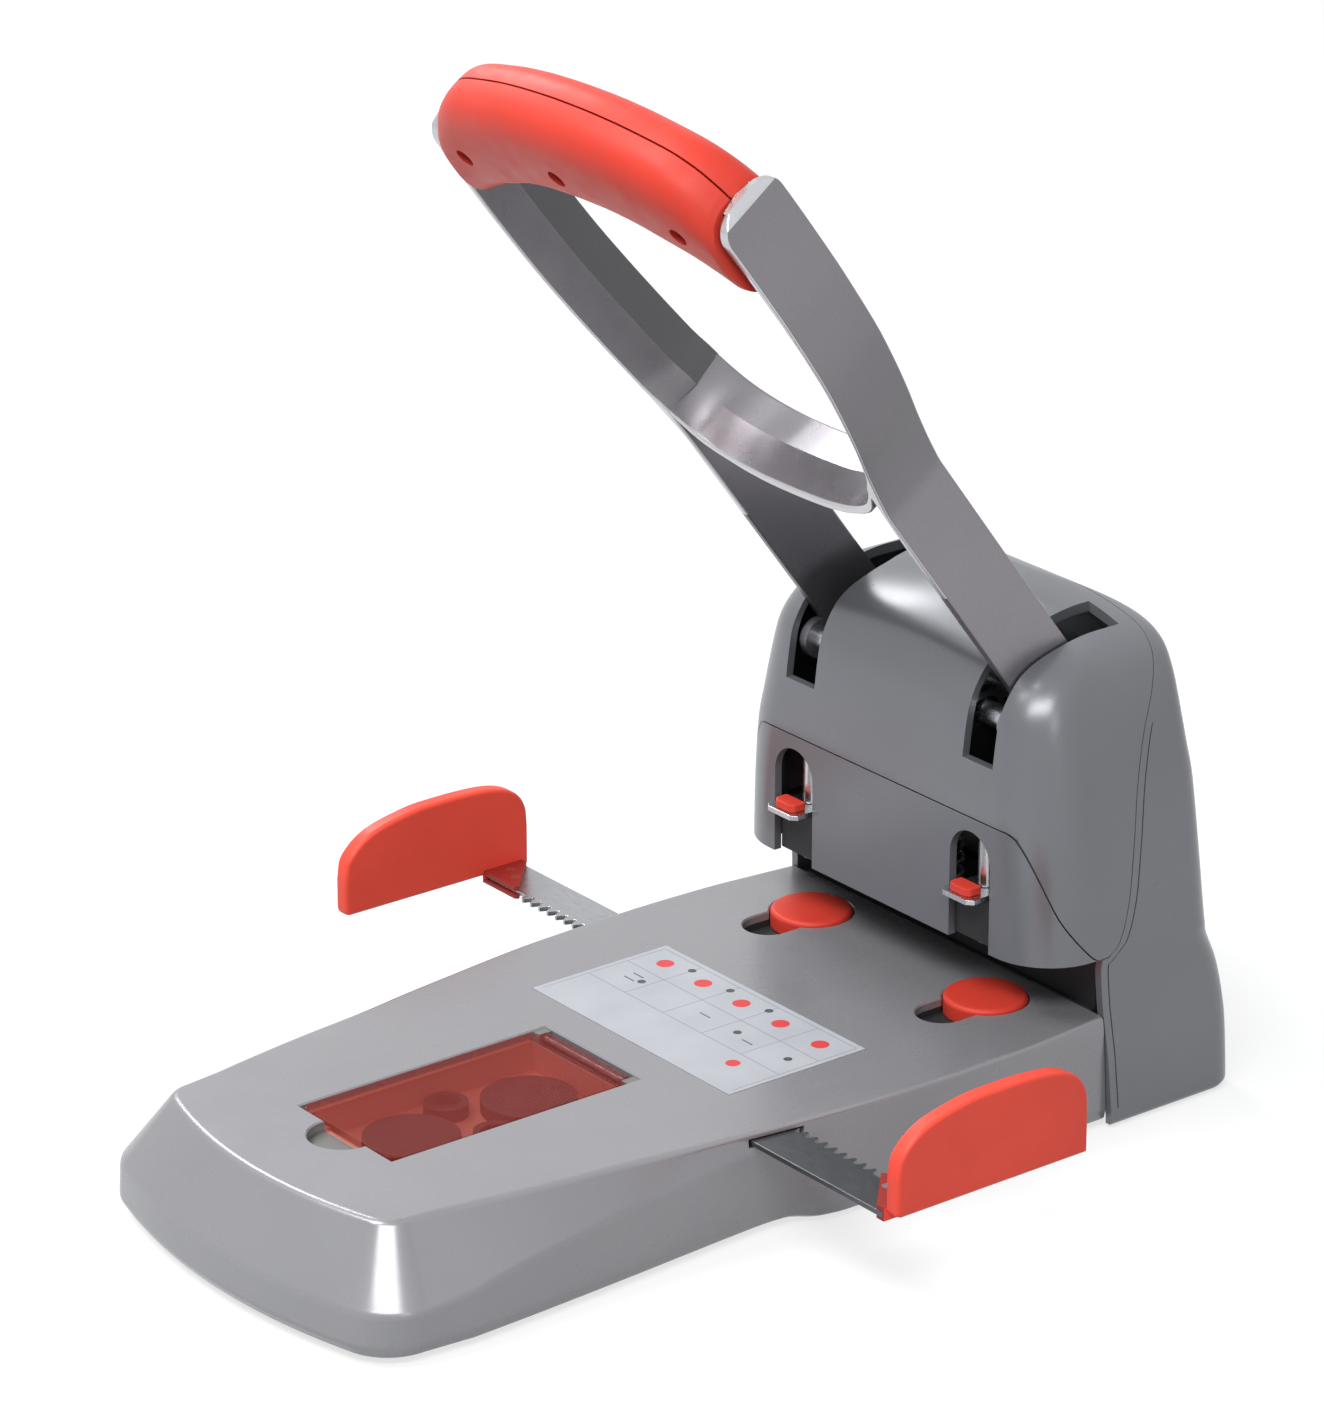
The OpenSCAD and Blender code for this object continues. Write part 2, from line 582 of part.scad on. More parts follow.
// Cross beam with two yoke plates that the crank rod slides in.
yoke_x = 27;
yoke_t = 4;
module punch_beam() color(dark_silver) machine() difference() {
    union() {
        block([-46, -3.2, beam_z], [46, 12, beam_z + beam_t]);
        block([-plate_x - plate_w, 0.1, beam_z], [plate_x + plate_w, 8.9, beam_z + beam_t]);
        for (s = sides) {
            x0 = s > 0 ? yoke_x : -yoke_x - yoke_t;
            along_x(x0, x0 + yoke_t) polygon([
                [0.4, beam_z + 1], [12, beam_z + 1], [12.5, crank_at[1] - 4], [12.5, crank_at[1] + 4],
                [10.5, crank_at[1] + 6], [3, crank_at[1] + 6], [0.6, crank_at[1] + 3]]);
        }
    }
    // crank slots: long in y, close in z
    for (s = sides) {
        x0 = s > 0 ? yoke_x - 1 : -yoke_x - yoke_t - 1;
        block([x0, crank_at[0] - 1.5, crank_at[1] - crank_rod_r - 0.45],
              [x0 + yoke_t + 2, crank_at[0] + 1.8, crank_at[1] + crank_rod_r + 0.45]);
        rod_x(x0, x0 + yoke_t + 2, [crank_at[0] - 1.3, crank_at[1]], crank_rod_r + 0.45);
        rod_x(x0, x0 + yoke_t + 2, [crank_at[0] + 1.8, crank_at[1]], crank_rod_r + 0.45);
    }
    for (s = sides) translate([s * half_pitch, 0, beam_z - 1]) cylinder(r = pin_d / 2, h = 12, $fn = 64);
}

// Round-wire compression spring as one unbroken tube.
spring_coils = 6;
spring_r = 5;
wire_r = 0.8;
wire_sides = 6;
spring_steps = 12;
spring_low = head_plate_z + head_plate_t + wire_r;
spring_high = beam_z - wire_r;
spring_rings = spring_coils * spring_steps;

function coil_point(k) = let (t = k / spring_rings)
    [spring_r * cos(360 * spring_coils * t), spring_r * sin(360 * spring_coils * t),
     spring_low + (spring_high - spring_low) * t];
function coil_ring(k) = let (a = 360 * spring_coils * k / spring_rings, c = coil_point(k))
    [for (j = [0 : wire_sides - 1]) let (b = 360 * j / wire_sides)
        c + wire_r * [cos(a) * cos(b), sin(a) * cos(b), sin(b)]];

module return_spring(side) color(steel) machine() translate([side * spring_x, spring_y, 0])
    skin([for (k = [spring_rings : -1 : 0]) coil_ring(k)]);
module return_spring_left() return_spring(-1);
module return_spring_right() return_spring(1);

// --- handle ---------------------------------------------------------------------------
// The handle is flat in its own plane: s runs up along it, n runs from its front to its back.
band_front = 60;
pivot_s = -sin(handle_lean) * pivot[0] + cos(handle_lean) * pivot[1];
pivot_n = cos(handle_lean) * pivot[0] + sin(handle_lean) * pivot[1];

// Places a piece drawn with x across, y as n and z as s.
module handle_plane() { rotate([handle_lean, 0, 0]) children(); }

// Right half of the outer edge, as [x, s], from the leg up.
loop_outer = concat([[46, 146]], curve([
    [46, 152], [47.5, 160], [51.5, 174], [57, 190], [61, 204], [64, 218], [65.5, 232], [66.4, 246],
    [66.5, 258], [66.3, 270], [65.8, 278]], 3), [[61.8, 286]]);
// Right half of the opening's edge, from the middle of the bow up.
loop_inner = concat(curve([
    [0, 149.5], [12, 149.9], [22, 151.5], [30, 154], [37, 158], [43, 164.5], [48, 173], [53.3, 188],
    [57.3, 202], [60.3, 216], [61.8, 230], [62.5, 246], [62.3, 258], [61.5, 270]], 3),
    [[61, 276], [61, 286]]);
// Right half of the underside of the bow, from the middle out to the leg.
bow_under = curve([[0, 144], [11, 144.4], [21, 146], [28, 148.4], [36, 152], [40, 155.5], [43, 160]], 2);

function widen(p) = [p[0] * (p[1] > 170 ? loop_half_width / 66.5 : 1), p[1]];

function flipped(points) = [for (i = [len(points) - 1 : -1 : 0]) [-points[i][0], points[i][1]]];
function backwards(points) = [for (i = [len(points) - 1 : -1 : 0]) points[i]];

// Front view of the bow and both arms, as one closed outline.
module loop_outline() {
    under = concat(bow_under, [[leg_out - leg_t, 146]]);
    outer = [for (p = loop_outer) widen(p)];
    inner = [for (p = loop_inner) widen(p)];
    // the two middle points of the inner edge and of the underside are shared by both halves
    polygon(concat(
        under, outer, backwards([for (i = [1 : len(inner) - 1]) inner[i]]),
        [inner[0]],
        [for (i = [1 : len(inner) - 1]) [-inner[i][0], inner[i][1]]],
        flipped(outer), flipped([for (i = [1 : len(under) - 1]) under[i]])));
}

function arc(c, r, a0, a1, n) =
    [for (i = [0 : n]) let (a = a0 + (a1 - a0) * i / n) c + r * [cos(a), sin(a)]];

// Side view of a leg in the handle's own plane, as [n, s]: its foot turns on the axle, and an ear
// in front of it holds the crank rod.
ear_r = 6.2;
hub_r = band_depth / 2;
hub_ns = [band_front + hub_r, pivot_s];
crank_ns = [cos(handle_lean) * crank_at[0] + sin(handle_lean) * crank_at[1],
            -sin(handle_lean) * crank_at[0] + cos(handle_lean) * crank_at[1]];
to_crank = crank_ns - hub_ns;
tangent = atan2(to_crank[1], to_crank[0]) + acos((hub_r - ear_r) / norm(to_crank));
leg_profile = concat(
    [[band_front + band_depth, 150]],
    arc(hub_ns, hub_r, 0, tangent - 360, 24),
    arc(crank_ns, ear_r, tangent, acos((band_front - crank_ns[0]) / ear_r), 14),
    [[band_front, 150]]);

module handle_frame() color(dark_silver) machine() handle_plane() difference() {
    union() {
        translate([0, band_front + band_depth, 0]) rotate([90, 0, 0])
            linear_extrude(band_depth) loop_outline();
        for (s = [0, 1]) mirror([s, 0, 0]) along_x(leg_out - leg_t, leg_out) polygon(leg_profile);
    }
    rod_x(-50, 50, [pivot_n, pivot_s], pivot_r + 0.05);
    rod_x(-50, 50, crank_ns, crank_rod_r);
    // the upper ends are rounded, front and back
    along_x(-70, 70) difference() {
        translate([band_front - 2, 286 - 9]) square([11, 11]);
        translate([band_front + 9, 286 - 9]) circle(r = 9, $fn = 64);
    }
    along_x(-70, 70) difference() {
        translate([band_front + band_depth - 6, 286 - 6]) square([8, 8]);
        translate([band_front + band_depth - 6, 286 - 6]) circle(r = 6, $fn = 48);
    }
}

core_n = [66, 78];
grip_split = 70.5;
grip_half = 61;
grip_screw_places = [[-47.5, 275.5], [0, 282.5], [47.5, 275.5]];   // [x, s]

// The bar inside the grip follows the grip's curve.
module core_bar() translate([0, core_n[1], 0]) rotate([90, 0, 0]) linear_extrude(core_n[1] - core_n[0])
    polygon([[-grip_half, 271], [-38, 271], [-24, 277.5], [24, 277.5], [38, 271], [grip_half, 271],
             [grip_half, 280], [30, 287], [-30, 287], [-grip_half, 280]]);

module handle_core() color(steel) machine() handle_plane() difference() {
    core_bar();
    for (p = grip_screw_places) translate([p[0], core_n[0] - 1, p[1]]) rotate([-90, 0, 0])
        cylinder(r = 1.4, h = 20, $fn = 32);
}

// Half sections of the grip along x: [x, lowest s, highest s].
grip_stations = [
    [0, 268.2, 301], [12, 267.8, 300.6], [24, 265.9, 299.4], [36, 262, 297.2],
    [46, 258.4, 294.6], [54, 254.4, 291.2], [grip_half, 251, 286.2]];
grip_n = [57.4, 82.6];
grip_points = 28;
grip_round = 0.74;       // 1 would be an ellipse, 0 a rectangle

// Rounded section between two s values.
function grip_ring(x, low, high, squeeze) =
    let (cn = (grip_n[0] + grip_n[1]) / 2, rn = (grip_n[1] - grip_n[0]) / 2 - squeeze,
         cs = (low + high) / 2, rs = (high - low) / 2 - squeeze)
    [for (i = [0 : grip_points - 1]) let (a = 360 * i / grip_points, c = cos(a), q = sin(a))
        [x, cn + rn * sign(c) * pow(abs(c), grip_round), cs + rs * sign(q) * pow(abs(q), grip_round)]];

module grip_body() skin(concat(
    [for (i = [len(grip_stations) - 1 : -1 : 1]) let (g = grip_stations[i])
        grip_ring(-g[0], g[1], g[2], i == 6 ? 0.5 : 0)],
    [for (i = [0 : len(grip_stations) - 1]) let (g = grip_stations[i])
        grip_ring(g[0], g[1], g[2], i == 6 ? 0.5 : 0)]));

module grip_half_shell(n0, n1) intersection() {
    grip_body();
    block([-70, n0, 240], [70, n1, 310]);
}

module grip_front() color(red) machine() handle_plane() one_mesh() difference() {
    grip_half_shell(50, grip_split - 0.1);
    core_bar();
    for (p = grip_screw_places) translate([p[0], 50, p[1]]) rotate([-90, 0, 0]) {
        cylinder(r = 1.6, h = 30, $fn = 24);
        cylinder(r = 3, h = 12.7, $fn = 24);
    }
}

module grip_rear() color(red) machine() handle_plane() one_mesh() difference() {
    grip_half_shell(grip_split + 0.1, 90);
    core_bar();
}

module grip_screws() color(steel) machine() handle_plane() for (p = grip_screw_places)
    translate([p[0], 61.1, p[1]]) rotate([-90, 0, 0]) {
        cylinder(r = 1.4, h = 16, $fn = 32);
        difference() {
            cylinder(r = 2.7, h = 1.6, $fn = 32);
            translate([0, 0, -0.1]) cylinder(r = 1.3, h = 0.9, $fn = 6);
        }
    }

module handle_axle() color(steel) machine()
    rod_x(-plate_x - plate_w - 2.8, plate_x + plate_w + 2.8, pivot, pivot_r);

module axle_clips() color(black) machine() for (s = sides) difference() {
    rod_x(s > 0 ? plate_x + plate_w : -plate_x - plate_w - 1.2,
          s > 0 ? plate_x + plate_w + 1.2 : -plate_x - plate_w, pivot, 8);
    rod_x(-80, 80, pivot, pivot_r);
}

module crank_rod() color("#d8dadc") machine()
    rod_x(-leg_out, leg_out, crank_at, crank_rod_r);

// --- tower covers ---------------------------------------------------------------------
// Level, half width, front, how far the front bows back at x = 50, rear, front and rear corner radius.
tower_levels = [
    [-35, 72.5, -7.3, 0, 70.2, 19, 9], [-33, 73.4, -7.3, 0, 71, 20, 9.5],
    [-14, 72.8, -7.3, 0, 70.2, 20, 9.5], [-4, 71.8, -7.3, 0, 69.2, 20, 9.5],
    [4, 71.1, -7.3, 0, 67.5, 20, 9.5], [13, 70.9, -7.3, 0, 63.6, 20, 9.5],
    [17, 71.5, -7.3, 0, 62.2, 20, 9.5],
    [18.7, 71.8, -7.3, 0, 61.7, 20, 9.5], [34, 71.5, -7.3, 0, 59.8, 20, 9.5],
    [50, 70.6, -7.3, 0, 58.3, 20, 9.5], [58, 69.7, -7.3, 0, 57.9, 20, 9.5],
    [66, 68.5, -6.3, 0, 57.6, 19.5, 9.5], [75, 66.8, -5.2, 0, 56.6, 18.5, 9.5],
    [88, 63.6, -3.4, 0, 55.9, 16.5, 9.5], [95, 61.2, -1.2, 1, 55.8, 15, 9.5],
    [101, 58, 2.2, 3, 55.7, 14, 9.5], [104, 55.2, 5.2, 6, 55.4, 13, 9.5],
    [107, 50.5, 10, 13, 54.5, 12, 9.5], [109.5, 43, 15.5, 22, 52.5, 11, 9],
    [111.8, 32, 22, 38, 49, 9, 8], [113.4, 18, 29, 40, 45, 5, 5], [114, 8, 33, 40, 42, 3, 3]];

function tower_ring(l, w) =
    let (
        hx = l[1] - w, yf = l[2] + w, bow = l[3], yr = l[4] - w,
        rf = max(l[5] - w, 2), rr = max(l[6] - w, 2), z = l[0], x0 = hx - rf,
        back = bow * x0 * x0 / 2500,
        half = concat(
            [for (t = [0 : 0.2 : 0.8]) [x0 * t, yf + bow * x0 * x0 * t * t / 2500, z]],
            [for (i = [0 : 6]) let (a = -90 + 15 * i)
                [x0 + rf * cos(a), yf + back + rf + min(rf, (yr - yf - back) / 2) * sin(a), z]],
            [for (i = [0 : 6]) let (a = 15 * i)
                [hx - rr + rr * cos(a), yr - rr + rr * sin(a), z]])
    ) mirror_ring(half);

// The inside stops short of the top, and starts below the bottom edge.
roof_drop = [for (i = [0 : 19]) i < 15 ? 0 : [1.2, 1.8, 2.2, 2.5, 2.6][i - 15]];
function shell_levels(w) = w == 0 ? tower_levels : concat(
    [[-38, 72.5, -7.3, 0, 70.2, 19, 9]],
    [for (i = [1 : 19]) tower_levels[i] - [roof_drop[i], 0, 0, 0, 0, 0, 0]]);

module tower_skin(w) skin([for (l = shell_levels(w)) tower_ring(l, w)]);

// Side views, as [y, z], of the seams between the three covers.
low_seam = [
    [-7.3, 58.7], [-6.5, 58.4], [-5.6, 57.2], [-4.8, 54.9], [-2, 45.7], [2.3, 33.8], [7.9, 25.4],
    [13.2, 19.8], [15, throat]];
rear_seam = [
    [19, throat], [22.6, 21.5], [24.6, 26], [26.6, 34.6], [28.5, 50], [31, 66], [35.5, 81],
    [41, 92], [46, 103], [48, 110],
    [48, 120]];

slot_x = [33.5, 46.7];
slot_bottom = 74.8;
slot_rear = 42;

module head_room() difference() {
    tower_skin(0);
    tower_skin(wall);
}

module front_cover() color(dark_silver) machine() one_mesh() difference() {
    intersection() {
        head_room();
        along_x(-90, 90) polygon(concat(
            [[-20, 58.7]], low_seam, [for (p = rear_seam) p - [seam / 2, 0]], [[-20, 120]]));
    }
    for (s = [0, 1]) mirror([s, 0, 0])
        block([slot_x[0], -20, slot_bottom], [slot_x[1], slot_rear, 130]);
}

punch_window = 8.85;
window_z = 45.25;
module punch_cover() color(dark_silver) machine() one_mesh() difference() {
    intersection() {
        head_room();
        along_x(-90, 90) polygon(concat(
            [[-20, throat], [-20, 58.7 - seam]],
            [for (p = low_seam) [p[0] - seam, max(throat, p[1] - seam)]]));
    }
    for (s = sides) {
        block([s * 40.15 - punch_window, -20, 0], [s * 40.15 + punch_window, 8, window_z]);
        translate([s * 40.15, 8, window_z]) rotate([90, 0, 0])
            cylinder(r = punch_window, h = 28, $fn = 40);
    }
}

drawer_w = 40;           // half width of the chip drawer
drawer_top = 8;
cover_screw_r = 1.5;
// Screws from the rear into the cross bars: x, the depth of the screw head, z.
cover_screw_places = [for (x = sides) each [[x * 30, 60.4, 20], [x * 30, 57.2, 52]]];

module rear_cover() color(dark_silver) machine() one_mesh() difference() {
    union() {
        intersection() {
            head_room();
            along_x(-90, 90) polygon(concat(
                [[base_seam_y(-40) + seam / 2, -40], [base_seam_y(17) + seam / 2, 17],
                 [16.75, throat - seam], [rear_seam[0][0] + seam / 2, throat - seam]],
                [for (i = [1 : len(rear_seam) - 1]) rear_seam[i] + [seam / 2, 0]],
                [[95, 120], [95, -40]]));
        }
        intersection() {
            tower_skin(0);
            for (s = [0, 1]) mirror([s, 0, 0]) {
                block([61, 56.8, plate_top], [73, 59.2, -1.2]);
                block([59.1, 60.3, plate_top], [61.3, 75, -1.8]);
            }
        }
        for (p = rear_posts) post(p, -0.6);
    }
    for (p = rear_posts) post_hole(p);
    block([-drawer_w - play, 50, -40], [drawer_w + play, 90, drawer_top + play]);
    for (p = cover_screw_places) translate([p[0], p[1], p[2]]) rotate([90, 0, 0]) {
        translate([0, 0, -10]) cylinder(r = 3.2, h = 10, $fn = 32);
        cylinder(r = 1.7, h = 9, $fn = 24);
    }
}

module cover_screws() color(steel) machine() for (p = cover_screw_places)
    translate([p[0], p[1], p[2]]) rotate([90, 0, 0]) {
        translate([0, 0, -1.2]) difference() {
            cylinder(r = 3, h = 1.2, $fn = 32);
            translate([0, 0, -0.1]) cylinder(r = 1.3, h = 0.8, $fn = 6);
        }
        cylinder(r = cover_screw_r, h = p[1] - 42, $fn = 32);
    }

// Drawer for the punched chips, pulled out at the rear.
module chip_drawer() color(black) machine() difference() {
    union() {
        block([-drawer_w, 30, -32.4], [drawer_w, 64, drawer_top - 2]);
        along_x(-drawer_w, drawer_w) polygon([
            [62.5, -32.4], [70.4, -32.4], [69.7, -14], [68.7, -4], [66.9, 4], [65, drawer_top],
            [62.5, drawer_top]]);
    }
    block([-drawer_w + 1.8, 31.8, -30.6], [drawer_w - 1.8, 61.5, drawer_top + 1]);
    // finger pocket under a lip
    block([-18, 64.5, -22], [18, 75, -8]);
}

base_cover();
base_plate();
rubber_feet();
base_screws();
hole_label();
storage_tray();
storage_lid();
lid_hinge_pin();
spare_discs();
spare_rings();
disc_cup_left();
disc_cup_right();
cutting_disc_left();
cutting_disc_right();
guide_channel();
guide_pinion();
pinion_screw();
guide_bar_left();
guide_bar_right();
guide_plate_left();
guide_plate_right();
guide_rivets_left();
guide_rivets_right();
frame_side_left();
frame_side_right();
anvil_plate();
head_plate();
rear_ties();
frame_bolts();
paper_stop();
pin_guide_left();
pin_guide_right();
release_clip_left();
release_clip_right();
clip_tip_left();
clip_tip_right();
punch_pin_left();
punch_pin_right();
punch_beam();
return_spring_left();
return_spring_right();
handle_frame();
handle_core();
grip_front();
grip_rear();
grip_screws();
handle_axle();
axle_clips();
crank_rod();
front_cover();
punch_cover();
rear_cover();
cover_screws();
chip_drawer();
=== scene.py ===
# %% [markdown]
# A tall lever punch, dressed for a photograph.
#
# The machine is a silver boat-shaped base, a grey tower that hides the punching train, and a looped
# metal handle with a red grip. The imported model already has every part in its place, so this lesson
# only gives the visible parts finer shapes and real finishes.
#
# The shapes below are in millimetres, measured from the line of the two punch pins at table height.
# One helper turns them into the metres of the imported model. Only the camera and the lamps are placed
# in metres, from the model's own origin.

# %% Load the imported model
import math

import bmesh
import bpy
import numpy as np
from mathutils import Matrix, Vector


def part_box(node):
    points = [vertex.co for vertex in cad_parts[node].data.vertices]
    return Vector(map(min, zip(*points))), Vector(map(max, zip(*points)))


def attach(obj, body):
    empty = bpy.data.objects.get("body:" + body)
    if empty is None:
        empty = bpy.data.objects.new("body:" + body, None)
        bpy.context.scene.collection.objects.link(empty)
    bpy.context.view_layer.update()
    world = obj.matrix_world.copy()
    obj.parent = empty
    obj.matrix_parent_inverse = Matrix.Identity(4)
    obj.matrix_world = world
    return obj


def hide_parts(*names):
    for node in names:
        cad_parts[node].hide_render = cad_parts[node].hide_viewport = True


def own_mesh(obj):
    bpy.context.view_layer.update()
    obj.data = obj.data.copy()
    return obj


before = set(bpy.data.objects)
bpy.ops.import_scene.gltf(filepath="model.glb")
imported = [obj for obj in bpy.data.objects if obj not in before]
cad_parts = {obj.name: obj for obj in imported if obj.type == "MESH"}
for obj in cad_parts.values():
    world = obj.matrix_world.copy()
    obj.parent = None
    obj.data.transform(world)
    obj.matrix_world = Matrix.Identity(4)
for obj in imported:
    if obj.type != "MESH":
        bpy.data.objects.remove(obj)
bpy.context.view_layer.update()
scene = bpy.context.scene

# %% [markdown]
# The camera comes first, because it decides how much detail is worth making. The photograph was taken
# with a long lens from the right and a little above. A long lens far away keeps parallel edges nearly
# parallel, and that is what the two guide plates show.

# %% Camera
AZIMUTH, ELEVATION = 52.1, 21.5
CAMERA_AT = (1.2025, -0.9369, 0.7365)
LENS, SENSOR = 148.2, 36.0
lens_data = bpy.data.cameras.new("long_lens")
lens_data.sensor_width = SENSOR
lens_data.lens = LENS
lens_data.clip_start = 0.05
lens_data.clip_end = 30.0
camera = bpy.data.objects.new("camera", lens_data)
scene.collection.objects.link(camera)
camera.location = CAMERA_AT
camera.rotation_euler = (math.radians(90 - ELEVATION), 0.0, math.radians(AZIMUTH))
scene.camera = camera
print("camera at", tuple(round(v, 3) for v in camera.location))

# %% [markdown]
# Every shell here is a skin through rings of points. The rings could be drawn by hand, but a table of
# a few stations and a smooth curve through them is shorter, and it can be read back against the real
# thing. The curve used never overshoots its stations, so a flat stretch stays flat.

# %% Curves through stations
MM = 0.001
ORIGIN = np.array([0.0, 87.5, 36.5])     # from the punch line to the model's own origin


def smooth(xs, ys, at):
    """Values at the places in at, on a curve through the stations that never overshoots."""
    xs, ys, at = (np.asarray(v, float) for v in (xs, ys, at))
    step = np.diff(xs)
    rise = np.diff(ys) / step
    slope = np.zeros(len(xs))
    slope[0], slope[-1] = rise[0], rise[-1]
    for i in range(1, len(xs) - 1):
        if rise[i - 1] * rise[i] > 0:
            w0, w1 = 2 * step[i] + step[i - 1], step[i] + 2 * step[i - 1]
            slope[i] = (w0 + w1) / (w0 / rise[i - 1] + w1 / rise[i])
    k = np.clip(np.searchsorted(xs, at, side="right") - 1, 0, len(step) - 1)
    t = (at - xs[k]) / step[k]
    return ((2 * t**3 - 3 * t**2 + 1) * ys[k] + (t**3 - 2 * t**2 + t) * step[k] * slope[k]
            + (3 * t**2 - 2 * t**3) * ys[k + 1] + (t**3 - t**2) * step[k] * slope[k + 1])


def through(points, steps):
    """A smooth line through points, with that many steps between each two."""
    points = np.asarray(points, float)
    places = np.arange(len(points))
    at = np.linspace(0, len(points) - 1, (len(points) - 1) * steps + 1)
    return np.stack([smooth(places, points[:, i], at) for i in range(points.shape[1])], axis=1)


def both_sides(rows):
    """Rows that start at x = 0, with their mirror images before them, one column each."""
    return np.array([(-row[0], *row[1:]) for row in rows[:0:-1]] + [tuple(row) for row in rows], float).T


print("a test curve:", smooth([0, 1, 2], [0, 1, 1], [0.5, 1.5]).round(3))

# %% [markdown]
# A skin through a few rings has hard corners where the rings change direction. A bevel could round
# them too, but the smallest face that it meets holds its width back. Here the rounding is part of the
# skin: before and after each corner ring, a few rings follow a short curve.

# %% Rings
def easing(lines, cuts, steps):
    """Rings along a path of corner rings. Inner corners are rounded off over their cut distance."""
    longest_cut = 0.45          # as a share of the run to the next ring
    out = [lines[0]]
    for i in range(1, len(lines) - 1):
        corner = lines[i]
        sides = []
        for other in (lines[i - 1], lines[i + 1]):
            run = other - corner
            length = np.linalg.norm(run, axis=1, keepdims=True)
            sides.append(corner + run * np.minimum(cuts[i - 1] / np.maximum(length, 1e-6), longest_cut))
        for t in np.linspace(0, 1, steps + 1):
            out.append((1 - t)**2 * sides[0] + 2 * t * (1 - t) * corner + t**2 * sides[1])
    return out + [lines[-1]]


def mirrored(half):
    """A whole ring from its right half, which starts at the middle of the front."""
    half = np.asarray(half, float)
    left = half[:0:-1].copy()
    left[:, 0] *= -1
    return np.concatenate([half, left])


print("a mirrored corner:", mirrored([(0, 0, 0), (1, 0, 0), (1, 1, 0)]).tolist())

# %% [markdown]
# Solids are made in two ways: a skin through rings, or an outline pushed along a line, which is a skin
# through two rings. Both end in one function, which moves the points to the model's own origin, turns
# them into metres and makes all faces look outward.

# %% Solids
def solid(name, points, faces):
    """A closed mesh object from points in millimetres, with its faces turned outward."""
    mesh = bpy.data.meshes.new(name)
    mesh.from_pydata(((np.asarray(points, float) + ORIGIN) * MM).tolist(), [], faces)
    work = bmesh.new()
    work.from_mesh(mesh)
    bmesh.ops.remove_doubles(work, verts=work.verts, dist=1e-7)
    bmesh.ops.recalc_face_normals(work, faces=work.faces)
    work.to_mesh(mesh)
    work.free()
    obj = bpy.data.objects.new(name, mesh)
    scene.collection.objects.link(obj)
    return obj


def loft(name, rings):
    """A closed skin through rings of equal length."""
    n = len(rings[0])
    faces = [[k * n + i, k * n + (i + 1) % n, (k + 1) * n + (i + 1) % n, (k + 1) * n + i]
             for k in range(len(rings) - 1) for i in range(n)]
    last = (len(rings) - 1) * n
    faces += [list(range(n))[::-1], [last + i for i in range(n)]]
    return solid(name, np.concatenate(rings), faces)


def along_x(u, v, t):
    return (t, u, v)


def along_y(u, v, t):
    return (u, t, v)


def along_z(u, v, t):
    return (u, v, t)


def pushed(name, outline, low, high, way=along_z):
    """An outline carried from low to high."""
    return loft(name, [np.array([way(u, v, t) for u, v in outline]) for t in (low, high)])


def rectangle(x0, y0, x1, y1):
    return [(x0, y0), (x1, y0), (x1, y1), (x0, y1)]


def block(name, low, high):
    (x0, y0, z0), (x1, y1, z1) = low, high
    return pushed(name, rectangle(x0, y0, x1, y1), z0, z1)


def circle(cx, cy, r, count=64):
    return [(cx + r * math.cos(2 * math.pi * i / count), cy + r * math.sin(2 * math.pi * i / count))
            for i in range(count)]


def rod_x(name, x0, x1, y, z, r):
    return pushed(name, circle(y, z, r, 48), x0, x1, along_x)


print("solids are skins, outlines, blocks and rods")

# %% [markdown]
# Most shells are then cut, joined or kept only where they meet another solid. The cuts use the exact
# solver, because the shells are thin and a fast solver can leave holes in them.

# %% Cutting and joining
def combine(obj, others, how):
    """Cuts, joins or keeps what is shared, and removes the helpers."""
    for other in others:
        step = obj.modifiers.new(how.lower(), "BOOLEAN")
        step.operation, step.solver, step.object = how, "EXACT", other
    ready = obj.evaluated_get(bpy.context.evaluated_depsgraph_get())
    mesh = bpy.data.meshes.new_from_object(ready)
    obj.modifiers.clear()
    obj.data = mesh
    mesh.name = obj.name
    for other in others:
        bpy.data.objects.remove(other)
    return obj


def cut(obj, *others):
    return combine(obj, others, "DIFFERENCE")


def join(obj, *others):
    return combine(obj, others, "UNION")


def shared(obj, *others):
    return combine(obj, others, "INTERSECT")


def finish_shape(obj, angle=32):
    """Smooth shading, with crisp edges where two faces turn by more than the angle."""
    work = bmesh.new()
    work.from_mesh(obj.data)
    bmesh.ops.remove_doubles(work, verts=work.verts, dist=2e-6)
    bmesh.ops.dissolve_degenerate(work, edges=work.edges, dist=1e-6)
    work.to_mesh(obj.data)
    work.free()
    obj.data.shade_smooth()
    obj.data.set_sharp_from_angle(angle=math.radians(angle))
    flat = obj.modifiers.new("even_shading", "WEIGHTED_NORMAL")
    flat.keep_sharp = True
    flat.weight = 60


print("cut, join and shared are ready")

# %% [markdown]
# A finish is a small net of nodes. Its patterns are noises in the object's own coordinates, so they
# stay on the part when it moves. An image could be wrapped round the part too, but it would need a
# flat layout of each surface, and noise needs none. One class keeps the net and the nodes that most
# finishes need.

# %% Nets of nodes
MIX_FIRST, MIX_SECOND, MIX_RESULT = 6, 7, 2      # the colour sockets of a Mix node


def linear(colour):
    """Screen colour, 0 to 255, to the linear values that a shader wants."""
    return [c / 255 / 12.92 if c <= 10 else ((c / 255 + 0.055) / 1.055)**2.4 for c in colour] + [1.0]


def shifted(colour, factor):
    """The colour made brighter or darker, in linear values."""
    return linear([min(c * factor, 255) for c in colour])


